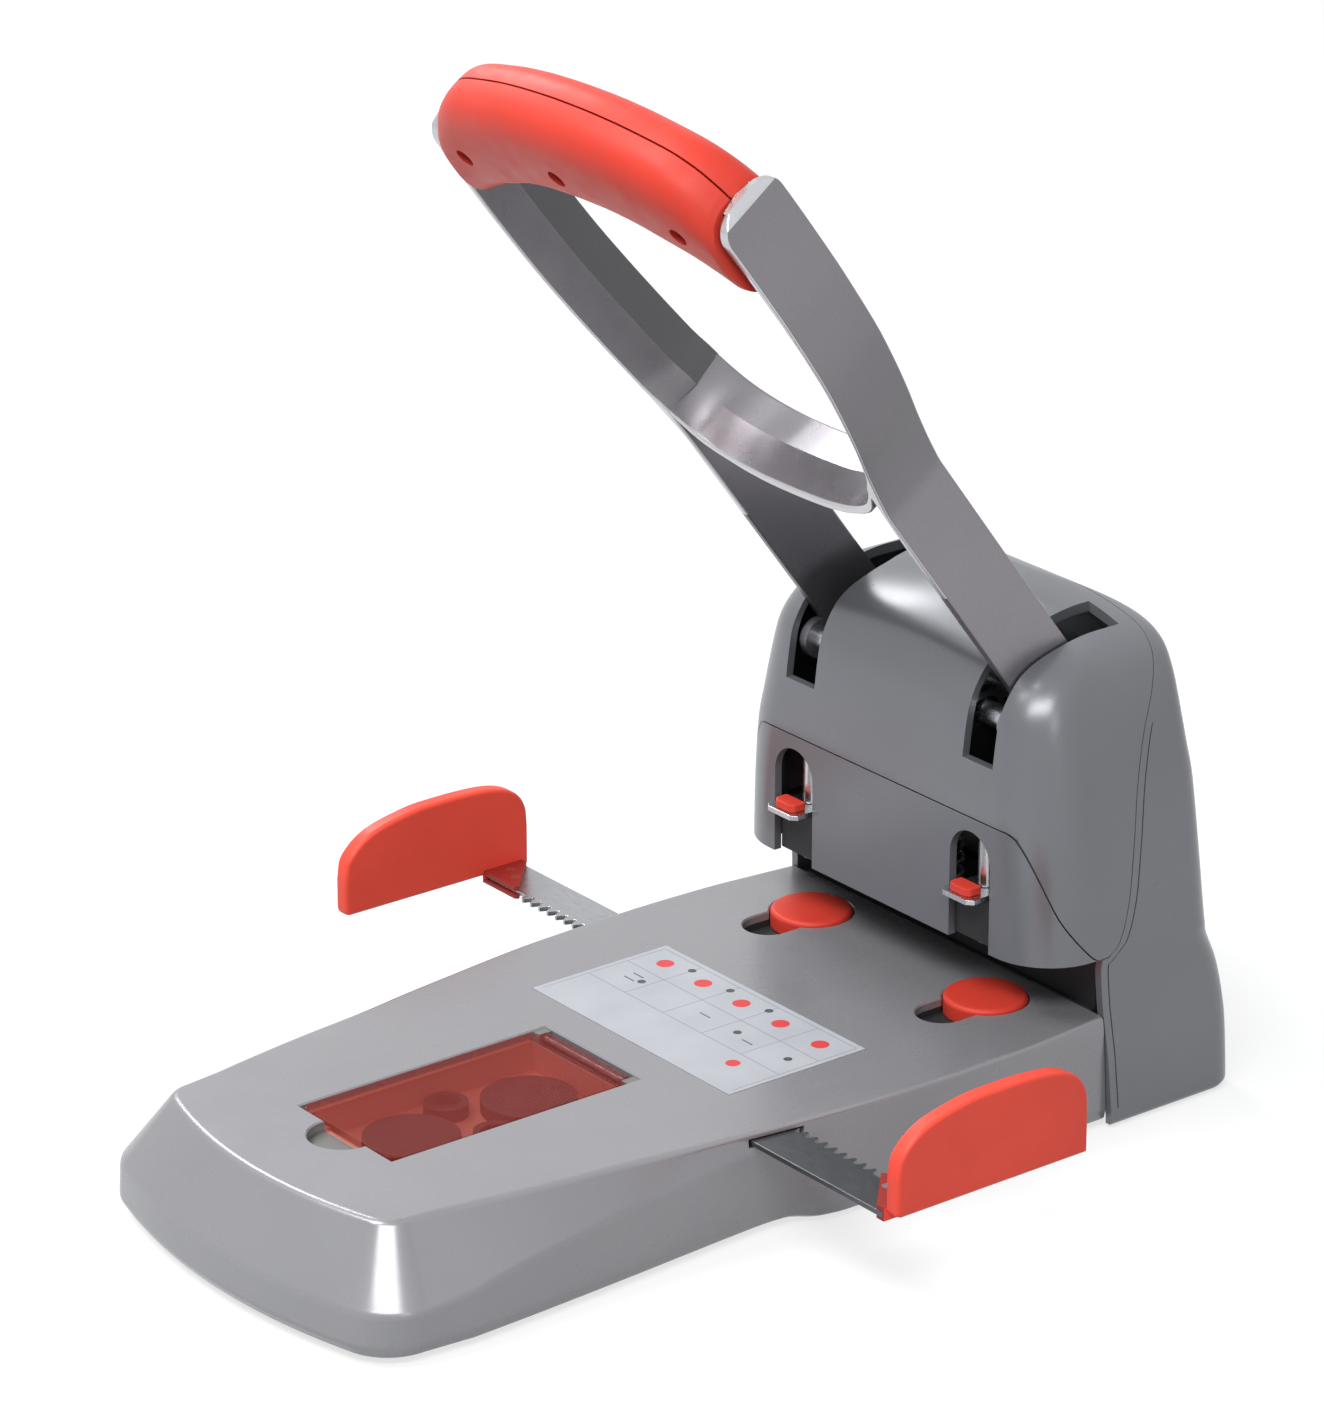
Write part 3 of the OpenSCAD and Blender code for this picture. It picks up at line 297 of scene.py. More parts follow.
class Finish:
    """One material, with short ways to add the nodes that most finishes need."""

    def __init__(self, name):
        self.material = bpy.data.materials.new(name)
        self.material.use_nodes = True
        self.nodes = self.material.node_tree.nodes
        self.wire = self.material.node_tree.links.new
        self.shader = self.nodes["Principled BSDF"]
        self.spots = self.nodes.new("ShaderNodeTexCoord").outputs
        self.place = self.spots["Object"]

    def set(self, **values):
        for key, value in values.items():
            self.shader.inputs[key.replace("_", " ")].default_value = value
        return self

    def split(self, vector):
        """The X, Y and Z of a vector as sockets."""
        node = self.nodes.new("ShaderNodeSeparateXYZ")
        self.wire(vector, node.inputs["Vector"])
        return node.outputs

    def stretch(self, scale):
        node = self.nodes.new("ShaderNodeMapping")
        node.inputs["Scale"].default_value = scale
        self.wire(self.place, node.inputs["Vector"])
        return node.outputs["Vector"]

    def noise(self, scale, detail=2.0, where=None, rough=0.5):
        """Soft spots, about as many to the metre as the scale says."""
        node = self.nodes.new("ShaderNodeTexNoise")
        node.inputs["Scale"].default_value = scale
        node.inputs["Detail"].default_value = detail
        node.inputs["Roughness"].default_value = rough
        self.wire(where or self.place, node.inputs["Vector"])
        return node.outputs["Fac"]

    def between(self, value, low, high):
        """The middle of a noise's range, spread from low to high."""
        node = self.nodes.new("ShaderNodeMapRange")
        node.inputs["From Min"].default_value = 0.3
        node.inputs["From Max"].default_value = 0.7
        node.inputs["To Min"].default_value = low
        node.inputs["To Max"].default_value = high
        self.wire(value, node.inputs["Value"])
        return node.outputs["Result"]

    def maths(self, how, first, second=None, clamp=False):
        node = self.nodes.new("ShaderNodeMath")
        node.operation, node.use_clamp = how, clamp
        for socket, value in zip(node.inputs, (first, second)):
            if isinstance(value, (int, float)):
                socket.default_value = value
            elif value is not None:
                self.wire(value, socket)
        return node.outputs["Value"]

    def far_from(self, value, centre):
        """The distance of a value from a centre."""
        return self.maths("ABSOLUTE", self.maths("SUBTRACT", value, centre))

    def mix(self, share, first, second):
        """A blend of two colours, each a socket or a list."""
        node = self.nodes.new("ShaderNodeMix")
        node.data_type = "RGBA"
        for socket, value in ((node.inputs["Factor"], share), (node.inputs[MIX_FIRST], first),
                              (node.inputs[MIX_SECOND], second)):
            if hasattr(value, "is_linked"):
                self.wire(value, socket)
            else:
                socket.default_value = value
        return node.outputs[MIX_RESULT]

    def clouded(self, scale, detail, first, second):
        """A cloudy blend of two colours."""
        return self.mix(self.between(self.noise(scale, detail), 0.0, 1.0), first, second)

    def colour(self, socket):
        self.wire(socket, self.shader.inputs["Base Color"])

    def roughness(self, socket):
        self.wire(socket, self.shader.inputs["Roughness"])

    def bump(self, height, strength, depth):
        """Small dents; depth is in millimetres."""
        node = self.nodes.new("ShaderNodeBump")
        node.inputs["Strength"].default_value = strength
        node.inputs["Distance"].default_value = depth * MM
        self.wire(height, node.inputs["Height"])
        self.wire(node.outputs["Normal"], self.shader.inputs["Normal"])


print("white is", linear((255, 255, 255)), "to a shader")

# %% [markdown]
# Three recipes cover nearly the whole machine. The covers are moulded in plastic and sprayed with a
# metallic lacquer: a soft sheen, and a fine sparkle of flakes under it. The red parts are dyed
# through, so they have no flakes, only the faint grain of the mould. Steel is brushed along its
# length. A flat colour would miss all of this.

# %% Recipes
def lacquer(name, colour, metal, rough, sparkle=0.02, under=1.0):
    """Metallic lacquer: fine flakes, a faint cloud and orange peel.

    Where the factor for shade underneath is less than 1, faces that look down are darker by it: painted
    shade."""
    f = Finish(name)
    cloudy = f.clouded(22, 2.0, shifted(colour, 0.975), shifted(colour, 1.02))
    flakes = f.clouded(2600, 1.0, shifted(colour, 1 - sparkle), shifted(colour, 1 + sparkle))
    coat = f.mix(0.5, cloudy, flakes)
    if under < 1.0:
        # Painted shade: faces that look down are darker by the last factor.
        down = f.maths("MULTIPLY", f.split(f.spots["Normal"])["Z"], -3.0, clamp=True)
        coat = f.mix(down, coat, shifted(colour, under))
    f.colour(coat)
    f.roughness(f.between(f.noise(60, 3.0), rough - 0.03, rough + 0.03))
    f.bump(f.noise(900, 2.0), 0.03, 0.02)
    return f.set(Metallic=metal, Specular_IOR_Level=0.5).material


def moulded(name, colour, rough, grain=1400, deep=0.04):
    """Plastic that is dyed through, with the fine grain of its mould."""
    f = Finish(name)
    f.colour(f.clouded(35, 3.0, shifted(colour, 0.97), shifted(colour, 1.02)))
    f.roughness(f.between(f.noise(140, 2.0), rough - 0.05, rough + 0.05))
    f.bump(f.noise(grain, 2.0), 0.18, deep)
    return f.set(Specular_IOR_Level=0.28).material


def brushed(name, colour, rough, along=(1, 30, 30)):
    """Metal with fine lines along its length."""
    f = Finish(name)
    lines = f.noise(160, 4.0, f.stretch(along), 0.65)
    f.colour(f.mix(f.between(lines, 0.0, 1.0), shifted(colour, 0.9), shifted(colour, 1.06)))
    f.roughness(f.between(lines, rough - 0.08, rough + 0.08))
    f.bump(lines, 0.15, 0.03)
    return f.set(Metallic=1.0).material


print("recipes: lacquer, moulded plastic and brushed metal")

# %% [markdown]
# A light silver base, a mid grey tower, a darker handle, and one warm red for everything that a hand
# touches or turns. The numbers were found by rendering, comparing with the photograph, and changing
# them again. They are the colours of the surfaces, so they differ from the colours on the screen by
# what the lamps do to them.
#
# The photograph's studio throws strong reflections that four lamps don't repeat. Some finishes paint
# that light and shade in: the handle has a paler metal for its front edges, a painted highlight, and a
# darker one for the rear of its arms' insides, painted shade; the guide plates have a brighter red,
# painted light, with dark feet, painted shade; and the left bar has a paler steel, painted light. The
# handle's faces that look down are also painted darker, as painted shade.

# %% Finishes
silver = lacquer("silver_lacquer", (148, 148, 152), metal=0.3, rough=0.27)
grey = lacquer("grey_lacquer", (120, 122, 127), metal=0.35, rough=0.30)
# The handle's faces that look down get painted shade.
handle_metal = lacquer("handle_metal", (136, 133, 138), metal=0.75, rough=0.28, sparkle=0.04, under=0.72)
# Painted highlight for the handle's front edges and top, painted shade for the rear of its arms' insides.
handle_painted_highlight = lacquer("handle_painted_highlight", (190, 191, 194), metal=0.85, rough=0.22)
handle_shade = lacquer("handle_shade", (92, 92, 94), metal=0.75, rough=0.28, sparkle=0.04)
red = moulded("red_plastic", (219, 66, 51), rough=0.45)
# Painted light and shade on the guide plates: a brighter red for the plates, a darker red for their feet.
red_foot_painted_shade = moulded("red_foot_painted_shade", (150, 46, 40), rough=0.5)
red_plate_painted_light = moulded("red_plate_painted_light", (252, 84, 66), rough=0.42)
spare = moulded("dark_spares", (26, 24, 24), rough=0.5)
dark = moulded("dark_plastic", (46, 48, 50), rough=0.5)
rubber = moulded("rubber", (28, 28, 29), rough=0.8, grain=700, deep=0.08)
steel = brushed("brushed_steel", (104, 107, 110), rough=0.36)
# A paler steel for the left bar: painted light.
steel_painted_light = brushed("steel_painted_light", (168, 170, 174), rough=0.3)
bright = brushed("bright_steel", (198, 201, 204), rough=0.26, along=(30, 30, 1))
brass = brushed("brass", (181, 145, 92), rough=0.35)
print("the last finishes:", [m.name for m in bpy.data.materials][-10:])

# %% [markdown]
# ## The base
#
# The base is one moulded shell, like a boat turned over. Its front is bowed, its sides have a crease
# that sinks towards the front, and the table's edge is softly rounded. It could be a box with a
# bevel, but the crease changes its height and the corners change their width, so it is a skin through
# rings: foot, crease and table edge, each with its own width at every station along the side.

# %% Base stations
STATION_Y = [-205, -190, -171, -150, -130, -113, -100, -92, -84, -76, -60, -38, -15, 4, 21]
TABLE_W = [55.2, 58, 61, 63.6, 67, 69.4, 71.2, 72.2, 73, 73.6, 74.4, 75, 74.5, 72.8, 71]
CREASE_W = [70, 69.2, 68.5, 68.1, 68.6, 69.6, 71, 71.8, 72.6, 73.2, 73.9, 74.4, 74, 72.8, 71.4]
CREASE_Z = [18.4, 16, 13.9, 11.2, 9.2, 7.0, 5.2, 4.2, 4, 4, 4, 4, 4, 4, 4]
LOWER_W = [69, 68.6, 67.8, 66.7, 65.5, 64.5, 64, 64.6, 69.6, 71, 71.2, 71.2, 71.2, 71.2, 71.2]
CREASE_FRONT_Z = 20.8
FRONT = 246.0
TABLE_BOW, CREASE_BOW = 150.0, 200.0      # radii of the bowed front
CORNER_IN = 1.5                           # the front corners stand this far inside the first station
CORNER_TURN = math.radians(73)
WALL = 2.6
side_y = np.concatenate([np.linspace(-205, -100, 28), np.linspace(-97, -70, 14), np.linspace(-65, 21, 20)])


def base_ring(front, bow_r, widths, front_z, depth, corner_r, inset, back=0.0):
    """One ring: the bowed front, the rounded corner, then the side.

    depth is how far the ring lies under the table, as one number or one for each station. inset moves
    the ring inwards, and back moves its last point to the rear."""
    wide = smooth(STATION_Y, widths, side_y) - inset
    low = smooth(STATION_Y, depth, side_y) if np.ndim(depth) else np.full(len(side_y), float(depth))
    xs = widths[0] - CORNER_IN - inset
    r = max(corner_r - inset, 2)
    x0 = xs - r + r * math.cos(CORNER_TURN)
    front_in = -front + inset
    yk = front_in + x0 * x0 / (2 * bow_r) + r * math.sin(CORNER_TURN)
    half = [(x0 * t, front_in + (x0 * t)**2 / (2 * bow_r), -front_z) for t in np.linspace(0, 1, 12)[:-1]]
    half += [(xs - r + r * math.cos(a), yk + r * math.sin(a), -front_z)
             for a in np.linspace(-CORNER_TURN, 0, 15)]
    rear = np.zeros(len(side_y))
    rear[-1] = back
    half += list(zip(wide, side_y + rear, -low))
    return mirrored(half)


def flat_ring(front, bow_r, widths, depth, corner_r, inset, back=0.0):
    return base_ring(front, bow_r, widths, depth, depth, corner_r, inset, back)


print("base ring of", len(flat_ring(FRONT, TABLE_BOW, TABLE_W, 0, 9, 0)), "points")

# %% [markdown]
# The outer skin climbs from the foot over the crease to the table. The hollow under it is a second,
# smaller skin that is open at the bottom and at the rear, where the tower stands.

# %% Base skin
base_shell = loft("base_shell", easing([
    flat_ring(FRONT - 3.5, CREASE_BOW, LOWER_W, 35, 15, 3.5),
    flat_ring(FRONT - 1, CREASE_BOW, LOWER_W, 33.6, 17, 1),
    flat_ring(FRONT, CREASE_BOW, LOWER_W, 30.5, 18, 0),
    base_ring(FRONT - 1, CREASE_BOW, CREASE_W, CREASE_FRONT_Z, CREASE_Z, 18, 0),
    flat_ring(FRONT - 13.8, TABLE_BOW, TABLE_W, 0, 9, 0),
    flat_ring(FRONT - 18.8, TABLE_BOW, TABLE_W, 0, 9, 5)], [0.8, 1.2, 1.3, 1.6], 5))
lower_by, open_rear = 0.5, 4
hollow = loft("hollow", [
    flat_ring(FRONT - 1, CREASE_BOW, LOWER_W, 36, 16, WALL + 1, open_rear),
    flat_ring(FRONT, CREASE_BOW, LOWER_W, 30.5, 17, WALL, open_rear),
    base_ring(FRONT - 1, CREASE_BOW, CREASE_W, CREASE_FRONT_Z + lower_by, [z + lower_by for z in CREASE_Z],
              17, WALL, open_rear),
    flat_ring(FRONT - 13.4, TABLE_BOW, TABLE_W, WALL, 8, WALL, open_rear)])
print("base skin", len(base_shell.data.polygons), "faces")

# %% [markdown]
# The table is pierced: a lid opening with a thumb notch, two round recesses for the cutting discs with
# their finger notches, a shallow bed for the hole sheet, and a slit on each side for the guide bars.
# Most cutters widen a little near the surface, which leaves a small chamfer like a real moulding.

# %% Places on the table
LID_W, LID_REAR, LID_LONG = 44.3, -113.7, 85.5
LID_FRONT = LID_REAR - LID_LONG
LABEL = (92.4, 49.8)
LABEL_Y = -75.5
HALF_PITCH = 40.0
DISC_R = 12.5
PLAY = 0.3
LIP = 0.45
SEAM = 0.3
ROOM_FLOOR = -4.0
GUIDE_Y = -78.0
TEETH, TOOTH_PITCH = 28, 4.18879
PINION_R = TEETH * TOOTH_PITCH / (2 * math.pi)


def stadium(cx, y0, y1, r):
    """A slot with round ends, long in y."""
    upper = [(cx + r * math.cos(a), y1 + r * math.sin(a)) for a in np.linspace(0, math.pi, 24)]
    lower = [(cx + r * math.cos(a), y0 + r * math.sin(a)) for a in np.linspace(math.pi, 2 * math.pi, 24)]
    return upper + lower


def lipped(name, outline_at):
    """A cutter through the table, wider by LIP at the surface. outline_at gives it, grown by a width."""
    levels = [(ROOM_FLOOR, 0.0), (-LIP, 0.0), (0.0, LIP), (1.0, LIP + 1.0)]
    return loft(name, [np.array([(x, y, z) for x, y in outline_at(grow)]) for z, grow in levels])


def seam_y(z):
    """The seam between the base and the rear housing leans."""
    return 17.8 - z * 0.077


print("the pinion's toothed circle has a radius of", round(PINION_R, 2), "mm")

# %% [markdown]
# All cutters are gathered in one list and taken out of the skin in turn, so that overlapping ones, as
# a disc's room and its finger notch, do no harm.

# %% Base openings
BED_PLAY, BED_DEEP = 0.2, 0.4
PINION_TOP, PINION_FLOOR, BAR_FLOOR = -1.6, -5.9, -4.3
BAR_OUT, BAR_IN = 15.4, 2.6               # the bars' slit, outside and inside the toothed circle
cutters = [
    hollow,
    pushed("rear_seam", [(seam_y(-40) - SEAM / 2, -40), (seam_y(2) - SEAM / 2, 2), (60, 2), (60, -40)],
           -90, 90, along_x),
    lipped("lid_room", lambda g: rectangle(-LID_W / 2 - PLAY - g, LID_FRONT - PLAY - g,
                                           LID_W / 2 + PLAY + g, LID_REAR + 0.5 + g)),
    lipped("thumb_room", lambda g: circle(0, LID_FRONT - 1, 10 + g)),
    block("label_room", (-LABEL[0] / 2 - BED_PLAY, LABEL_Y - LABEL[1] / 2 - BED_PLAY, -BED_DEEP),
          (LABEL[0] / 2 + BED_PLAY, LABEL_Y + LABEL[1] / 2 + BED_PLAY, 1)),
    pushed("pinion_room", circle(0, GUIDE_Y, PINION_R + 2.5), PINION_FLOOR, PINION_TOP)]
for s in (-1, 1):
    cutters.append(lipped("disc_room", lambda g: circle(s * HALF_PITCH, 0, DISC_R + PLAY + g, 96)))
    cutters.append(lipped("notch_room", lambda g: stadium(s * HALF_PITCH, -17, -4, 7.5 + g)))
    x0, x1 = sorted((-67.5 * s, 90 * s))
    y0, y1 = sorted((GUIDE_Y - s * (PINION_R + BAR_OUT), GUIDE_Y - s * (PINION_R - BAR_IN)))
    cutters.append(block("bar_room", (x0, y0, BAR_FLOOR), (x1, y1, PINION_TOP)))
for cutter in cutters:
    cut(base_shell, cutter)
finish_shape(base_shell)
base_shell.data.materials.append(silver)
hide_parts("base_cover")
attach(base_shell, "base")
print("base shell", len(base_shell.data.polygons), "faces")

# %% [markdown]
# ## The tower
#
# Three covers hide the punching train: a hood that the handle's legs swing through, a lower front
# panel with two windows, and a rear housing that reaches down to the desk. On the real machine they
# follow one shared surface, so one skin is made from a table of levels, hollowed once, and split along
# the seams. Splitting a shared surface keeps the covers flush, which three separate lofts would not.

# %% Tower levels
TOWER = [
    # level, half width, front, bow of the front, rear, front corner, rear corner
    [-35, 72.5, -7.3, 0, 70.2, 19, 9], [-33, 73.4, -7.3, 0, 71, 20, 9.5],
    [-14, 72.8, -7.3, 0, 70.2, 20, 9.5], [-4, 71.8, -7.3, 0, 69.2, 20, 9.5],
    [4, 71.1, -7.3, 0, 67.5, 20, 9.5], [13, 70.9, -7.3, 0, 63.6, 20, 9.5],
    [17, 71.5, -7.3, 0, 62.2, 20, 9.5],
    [18.7, 71.8, -7.3, 0, 61.7, 20, 9.5], [34, 71.5, -7.3, 0, 59.8, 20, 9.5],
    [50, 70.6, -7.3, 0, 58.3, 20, 9.5], [58, 69.7, -7.3, 0, 57.9, 20, 9.5],
    [66, 68.5, -6.3, 0, 57.6, 19.5, 9.5], [75, 66.8, -5.2, 0, 56.6, 18.5, 9.5],
    [88, 63.6, -3.4, 0, 55.9, 16.5, 9.5], [95, 61.2, -1.2, 1, 55.8, 15, 9.5],
    [101, 58, 2.2, 3, 55.7, 14, 9.5], [104, 55.2, 5.2, 6, 55.4, 13, 9.5],
    [107, 50.5, 10, 13, 54.5, 12, 9.5], [109.5, 43, 15.5, 22, 52.5, 11, 9],
    [111.8, 32, 22, 38, 49, 9, 8], [113.4, 18, 29, 40, 45, 5, 5], [114, 8, 33, 40, 42, 3, 3]]
BOW_AT = 50                               # the bow is how far the front falls back at this half width
ROOF_DROP = [0] * 15 + [1.2, 1.8, 2.2, 2.5, 2.6]     # the room inside ends this far under each level
ROOM_BOTTOM = -38
THROAT = 18.7
print("tower levels", len(TOWER), "of which", len(ROOF_DROP), "shape the room inside")

# %% [markdown]
# Each level becomes a ring like a rounded plan drawing. The room inside uses the same rings, moved
# inwards by the wall and lowered under the roof, because a plain scaled copy would leave the wall
# thick in one place and thin in another.

# %% Tower skin
def tower_ring(row, inset):
    """A rounded plan at one level: a bowed front, two front corners, straight sides, rear corners."""
    z, hx, yf, bow, yr, rf, rr = row
    hx, yf, yr = hx - inset, yf + inset, yr - inset
    rf, rr = max(rf - inset, 2), max(rr - inset, 2)
    x0 = hx - rf
    back = bow * x0 * x0 / BOW_AT**2
    deep = min(rf, (yr - yf - back) / 2)
    half = [(x0 * t, yf + bow * (x0 * t)**2 / BOW_AT**2, z) for t in np.linspace(0, 1, 9)[:-1]]
    half += [(x0 + rf * math.cos(a), yf + back + rf + deep * math.sin(a), z)
             for a in np.radians(np.linspace(-90, 0, 15))]
    ya, yb = yf + back + rf, yr - rr
    half += [(hx, ya + (yb - ya) * t, z) for t in np.linspace(0, 1, 5)[1:-1]]
    half += [(hx - rr + rr * math.cos(a), yb + rr * math.sin(a), z)
             for a in np.radians(np.linspace(0, 90, 9))]
    return mirrored(half)


def tower_skin(name, inset=0.0):
    """The whole tower as a solid, or the room inside it when there is an inset."""
    rows = np.array(TOWER, float)
    if inset:
        rows = rows[:len(ROOF_DROP)].copy()
        rows[0, 0] = ROOM_BOTTOM
        rows[:, 0] -= np.array(ROOF_DROP)
    return loft(name, [tower_ring(row, inset) for row in through(rows, 4)])


def tower_cover(name, side_view):
    """The part of the hollow tower inside an outline drawn in side view."""
    cover = tower_skin(name)
    cut(cover, tower_skin("room", WALL))
    return shared(cover, pushed("side_view", side_view, -90, 90, along_x))


LOW_SEAM = [(-7.3, 58.7), (-6.5, 58.4), (-5.6, 57.2), (-4.8, 54.9), (-2, 45.7), (2.3, 33.8), (7.9, 25.4),
            (13.2, 19.8), (15, THROAT)]
REAR_SEAM = [(19, THROAT), (22.6, 21.5), (24.6, 26), (26.6, 34.6), (28.5, 50), (31, 66), (35.5, 81),
             (41, 92), (46, 103), (48, 110), (48, 120)]
LOW_SEAM_TOP = LOW_SEAM[0][1]
AHEAD = -20                               # in front of the whole tower
low_line = [tuple(p) for p in through(LOW_SEAM, 4)]
rear_line = [tuple(p) for p in through(REAR_SEAM, 4)]
print("seams of", len(low_line), "and", len(rear_line), "points")

# %% [markdown]
# The hood carries two long slots, open at the top, that the handle's legs swing in.

# %% Hood
SLOT = (33.5, 46.7)
SLOT_BACK, SLOT_FLOOR = 42, 74.8
hood = tower_cover("hood", [(AHEAD, LOW_SEAM_TOP)] + low_line
                   + [(y - SEAM / 2, z) for y, z in rear_line] + [(AHEAD, 120)])
for s in (-1, 1):
    x0, x1 = sorted((s * SLOT[0], s * SLOT[1]))
    cut(hood, block("leg_slot", (x0, AHEAD, SLOT_FLOOR), (x1, SLOT_BACK, 130)))
finish_shape(hood)
hood.data.materials.append(grey)
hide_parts("front_cover")
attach(hood, "base")
print("hood", len(hood.data.polygons), "faces")

# %% [markdown]
# The lower front panel has two windows with round tops, in front of the pins. Their edges are thick
# enough to catch the light, which is why the panel is a real shell and not a sheet.

# %% Lower front panel
WINDOW_X, WINDOW_R, WINDOW_Z, WINDOW_LOW = 40.15, 8.85, 45.25, 5
under_seam = [(y - SEAM, z - SEAM) for y, z in low_line if z > THROAT + SEAM + 0.1]
panel = tower_cover("front_panel", [(AHEAD, THROAT), (AHEAD, LOW_SEAM_TOP - SEAM)]
                    + under_seam + [(14.5, THROAT)])
for s in (-1, 1):
    arch = [(s * WINDOW_X + WINDOW_R * math.cos(a), WINDOW_Z + WINDOW_R * math.sin(a))
            for a in np.linspace(0, math.pi, 33)]
    arch += [(s * WINDOW_X - WINDOW_R, WINDOW_LOW), (s * WINDOW_X + WINDOW_R, WINDOW_LOW)]
    cut(panel, pushed("window", arch, AHEAD, 8, along_y))
finish_shape(panel)
panel.data.materials.append(grey)
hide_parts("punch_cover")
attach(panel, "base")
print("front panel", len(panel.data.polygons), "faces")

# %% [markdown]
# The rear housing widens towards the desk, closes the space behind the throat, and is cut out for the
# chip drawer and for four screws. A fine groove runs a little behind the whole seam and doubles its
# line. It could be painted on, but a real groove also catches the light from the side: a thin ribbon
# in side view, from which the inner core of the tower is taken away.

# %% Rear housing
DRAWER_W, DRAWER_TOP = 40.0, 8.0
COVER_SCREWS = [(s * 30, y, z) for s in (-1, 1) for y, z in ((60.4, 20), (57.2, 52))]
SCREW_HEAD_R = 3.2
GROOVE_BACK, GROOVE_WIDE, GROOVE_DEEP = 2.6, 0.45, 0.45
housing = tower_cover("rear_housing", [
    (seam_y(-40) + SEAM / 2, -40), (seam_y(17) + SEAM / 2, 17), (16.75, THROAT - SEAM),
    (REAR_SEAM[0][0] + SEAM / 2, THROAT - SEAM)] + [(y + SEAM / 2, z) for y, z in rear_line[1:]]
    + [(95, 120), (95, -40)])
cut(housing, block("drawer_room", (-DRAWER_W - PLAY, 50, -40), (DRAWER_W + PLAY, 90, DRAWER_TOP + PLAY)))
for x, y, z in COVER_SCREWS:
    cut(housing, pushed("screw_head_room", circle(x, z, SCREW_HEAD_R, 32), y, y + 10, along_y))
edge_line = [(seam_y(z), z) for z in np.linspace(-30, 16, 12)] + rear_line[2:26]     # without the ends
ribbon = pushed("groove", [(y + GROOVE_BACK, z) for y, z in edge_line]
                + [(y + GROOVE_BACK + GROOVE_WIDE, z) for y, z in edge_line[::-1]], -90, 90, along_x)
cut(ribbon, tower_skin("core", GROOVE_DEEP))
cut(housing, ribbon)
finish_shape(housing)
housing.data.materials.append(grey)
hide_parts("rear_cover")
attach(housing, "base")
print("rear housing", len(housing.data.polygons), "faces")

# %% [markdown]
# ## The handle
#
# The handle leans back, so its points are given in its own plane: x across, n from its front to its
# back, s up along it. Two arms, two legs and the bow between them are one casting. Each arm is a skin
# whose section changes as it climbs: rounded outside edges, and on the inside a long low ridge where
# two faces meet. The ridge splits the light on the far arm into a pale half and a dark half, and
# painted shade on the rear half makes the dark half darker.

# %% Handle lines
LEAN = math.radians(37)
BAND = (60.0, 83.0)                       # the front and the back of the casting, along n
LEG_OUT, LEG_IN = 46, 43
LOOP_OUTER = [(LEG_OUT, 146), (LEG_OUT, 152), (47.5, 160), (51.5, 174), (57, 190), (61, 204), (64, 218),
              (65.5, 232), (66.4, 246), (66.5, 258), (66.3, 270), (65.8, 278)]
LOOP_INNER = [(0, 149.5), (12, 149.9), (22, 151.5), (30, 154), (37, 158), (LEG_IN, 164.5), (48, 173),
              (53.3, 188), (57.3, 202), (60.3, 216), (61.8, 230), (62.5, 246), (62.3, 258), (61.5, 270),
              (61, 276), (61, 286)]
BOW_UNDER = [(0, 144), (11, 144.4), (21, 146), (28, 148.4), (36, 152), (40, 155.5), (43, 160),
             (44.5, 162)]
BEVEL_FROM, TOP_BEVEL = 278.6, (63.9, 281.2)
RIDGE = 1.5
RIDGE_FROM, RIDGE_FADE = 138, 30          # the ridge grows from nothing over this climb
FRONT_CORNER, BACK_CORNER = (273.6, 7.0), (275.6, 5.5)     # where the top's corners start, and radii


def tilted(x, n, s):
    """A point of the handle's own plane."""
    return (x, n * math.cos(LEAN) - s * math.sin(LEAN), n * math.sin(LEAN) + s * math.cos(LEAN))


def in_plane(y, z):
    """The n and s of a point of the machine."""
    return (y * math.cos(LEAN) + z * math.sin(LEAN), -y * math.sin(LEAN) + z * math.cos(LEAN))


print("the grip's middle is at", [round(v, 1) for v in tilted(0, sum(BAND) / 2, 280)])

# %% [markdown]
# One function draws the section for both the arms and the bow, so that they meet without a step.

# %% Handle section
def band_section(out, inn, front, back, soft, ridge=RIDGE):
    """Points round a band: outer edge, inner edge, with the ridge in the middle of the inner face.

    out and inn are (x, s) on the outer and inner line; soft is the radius of the edges."""
    out, inn = np.array(out, float), np.array(inn, float)
    thick = np.linalg.norm(inn - out)
    across = (inn - out) / max(thick, 1e-6)
    r = min(soft, thick * 0.3)
    flat = max(thick - min(ridge, thick * 0.5) - r, r)

    def edge(depth, n, start):
        turns = [math.radians(start + a) for a in np.linspace(0, 90, 9)]
        return [(depth + r * math.cos(a), n + r * math.sin(a)) for a in turns]

    path = edge(r, front + r, 180) + edge(flat, front + r, 270) + [(thick, (front + back) / 2)]
    path += edge(flat, back - r, 0) + edge(r, back - r, 90)
    ring = []
    for depth, n in path:
        x, s = out + across * depth
        ring.append(tilted(x, n, s))
    return np.array(ring)


def quarter(s, start, r):
    """How far a rounded corner of radius r has gone in, above the level where it starts."""
    up = min(max(s - start, 0.0), r * 0.98)
    return r - math.sqrt(r * r - up * up)


print("a corner of 7 mm has gone in", round(quarter(4, 0, 7), 2), "mm after 4 mm")

# %% [markdown]
# An arm climbs from inside the tower to its rounded top. The levels are close together near the top,
# where the corners turn quickly, and far apart below, where the leg is straight. The bow runs across
# instead: its rings stand side by side in x.

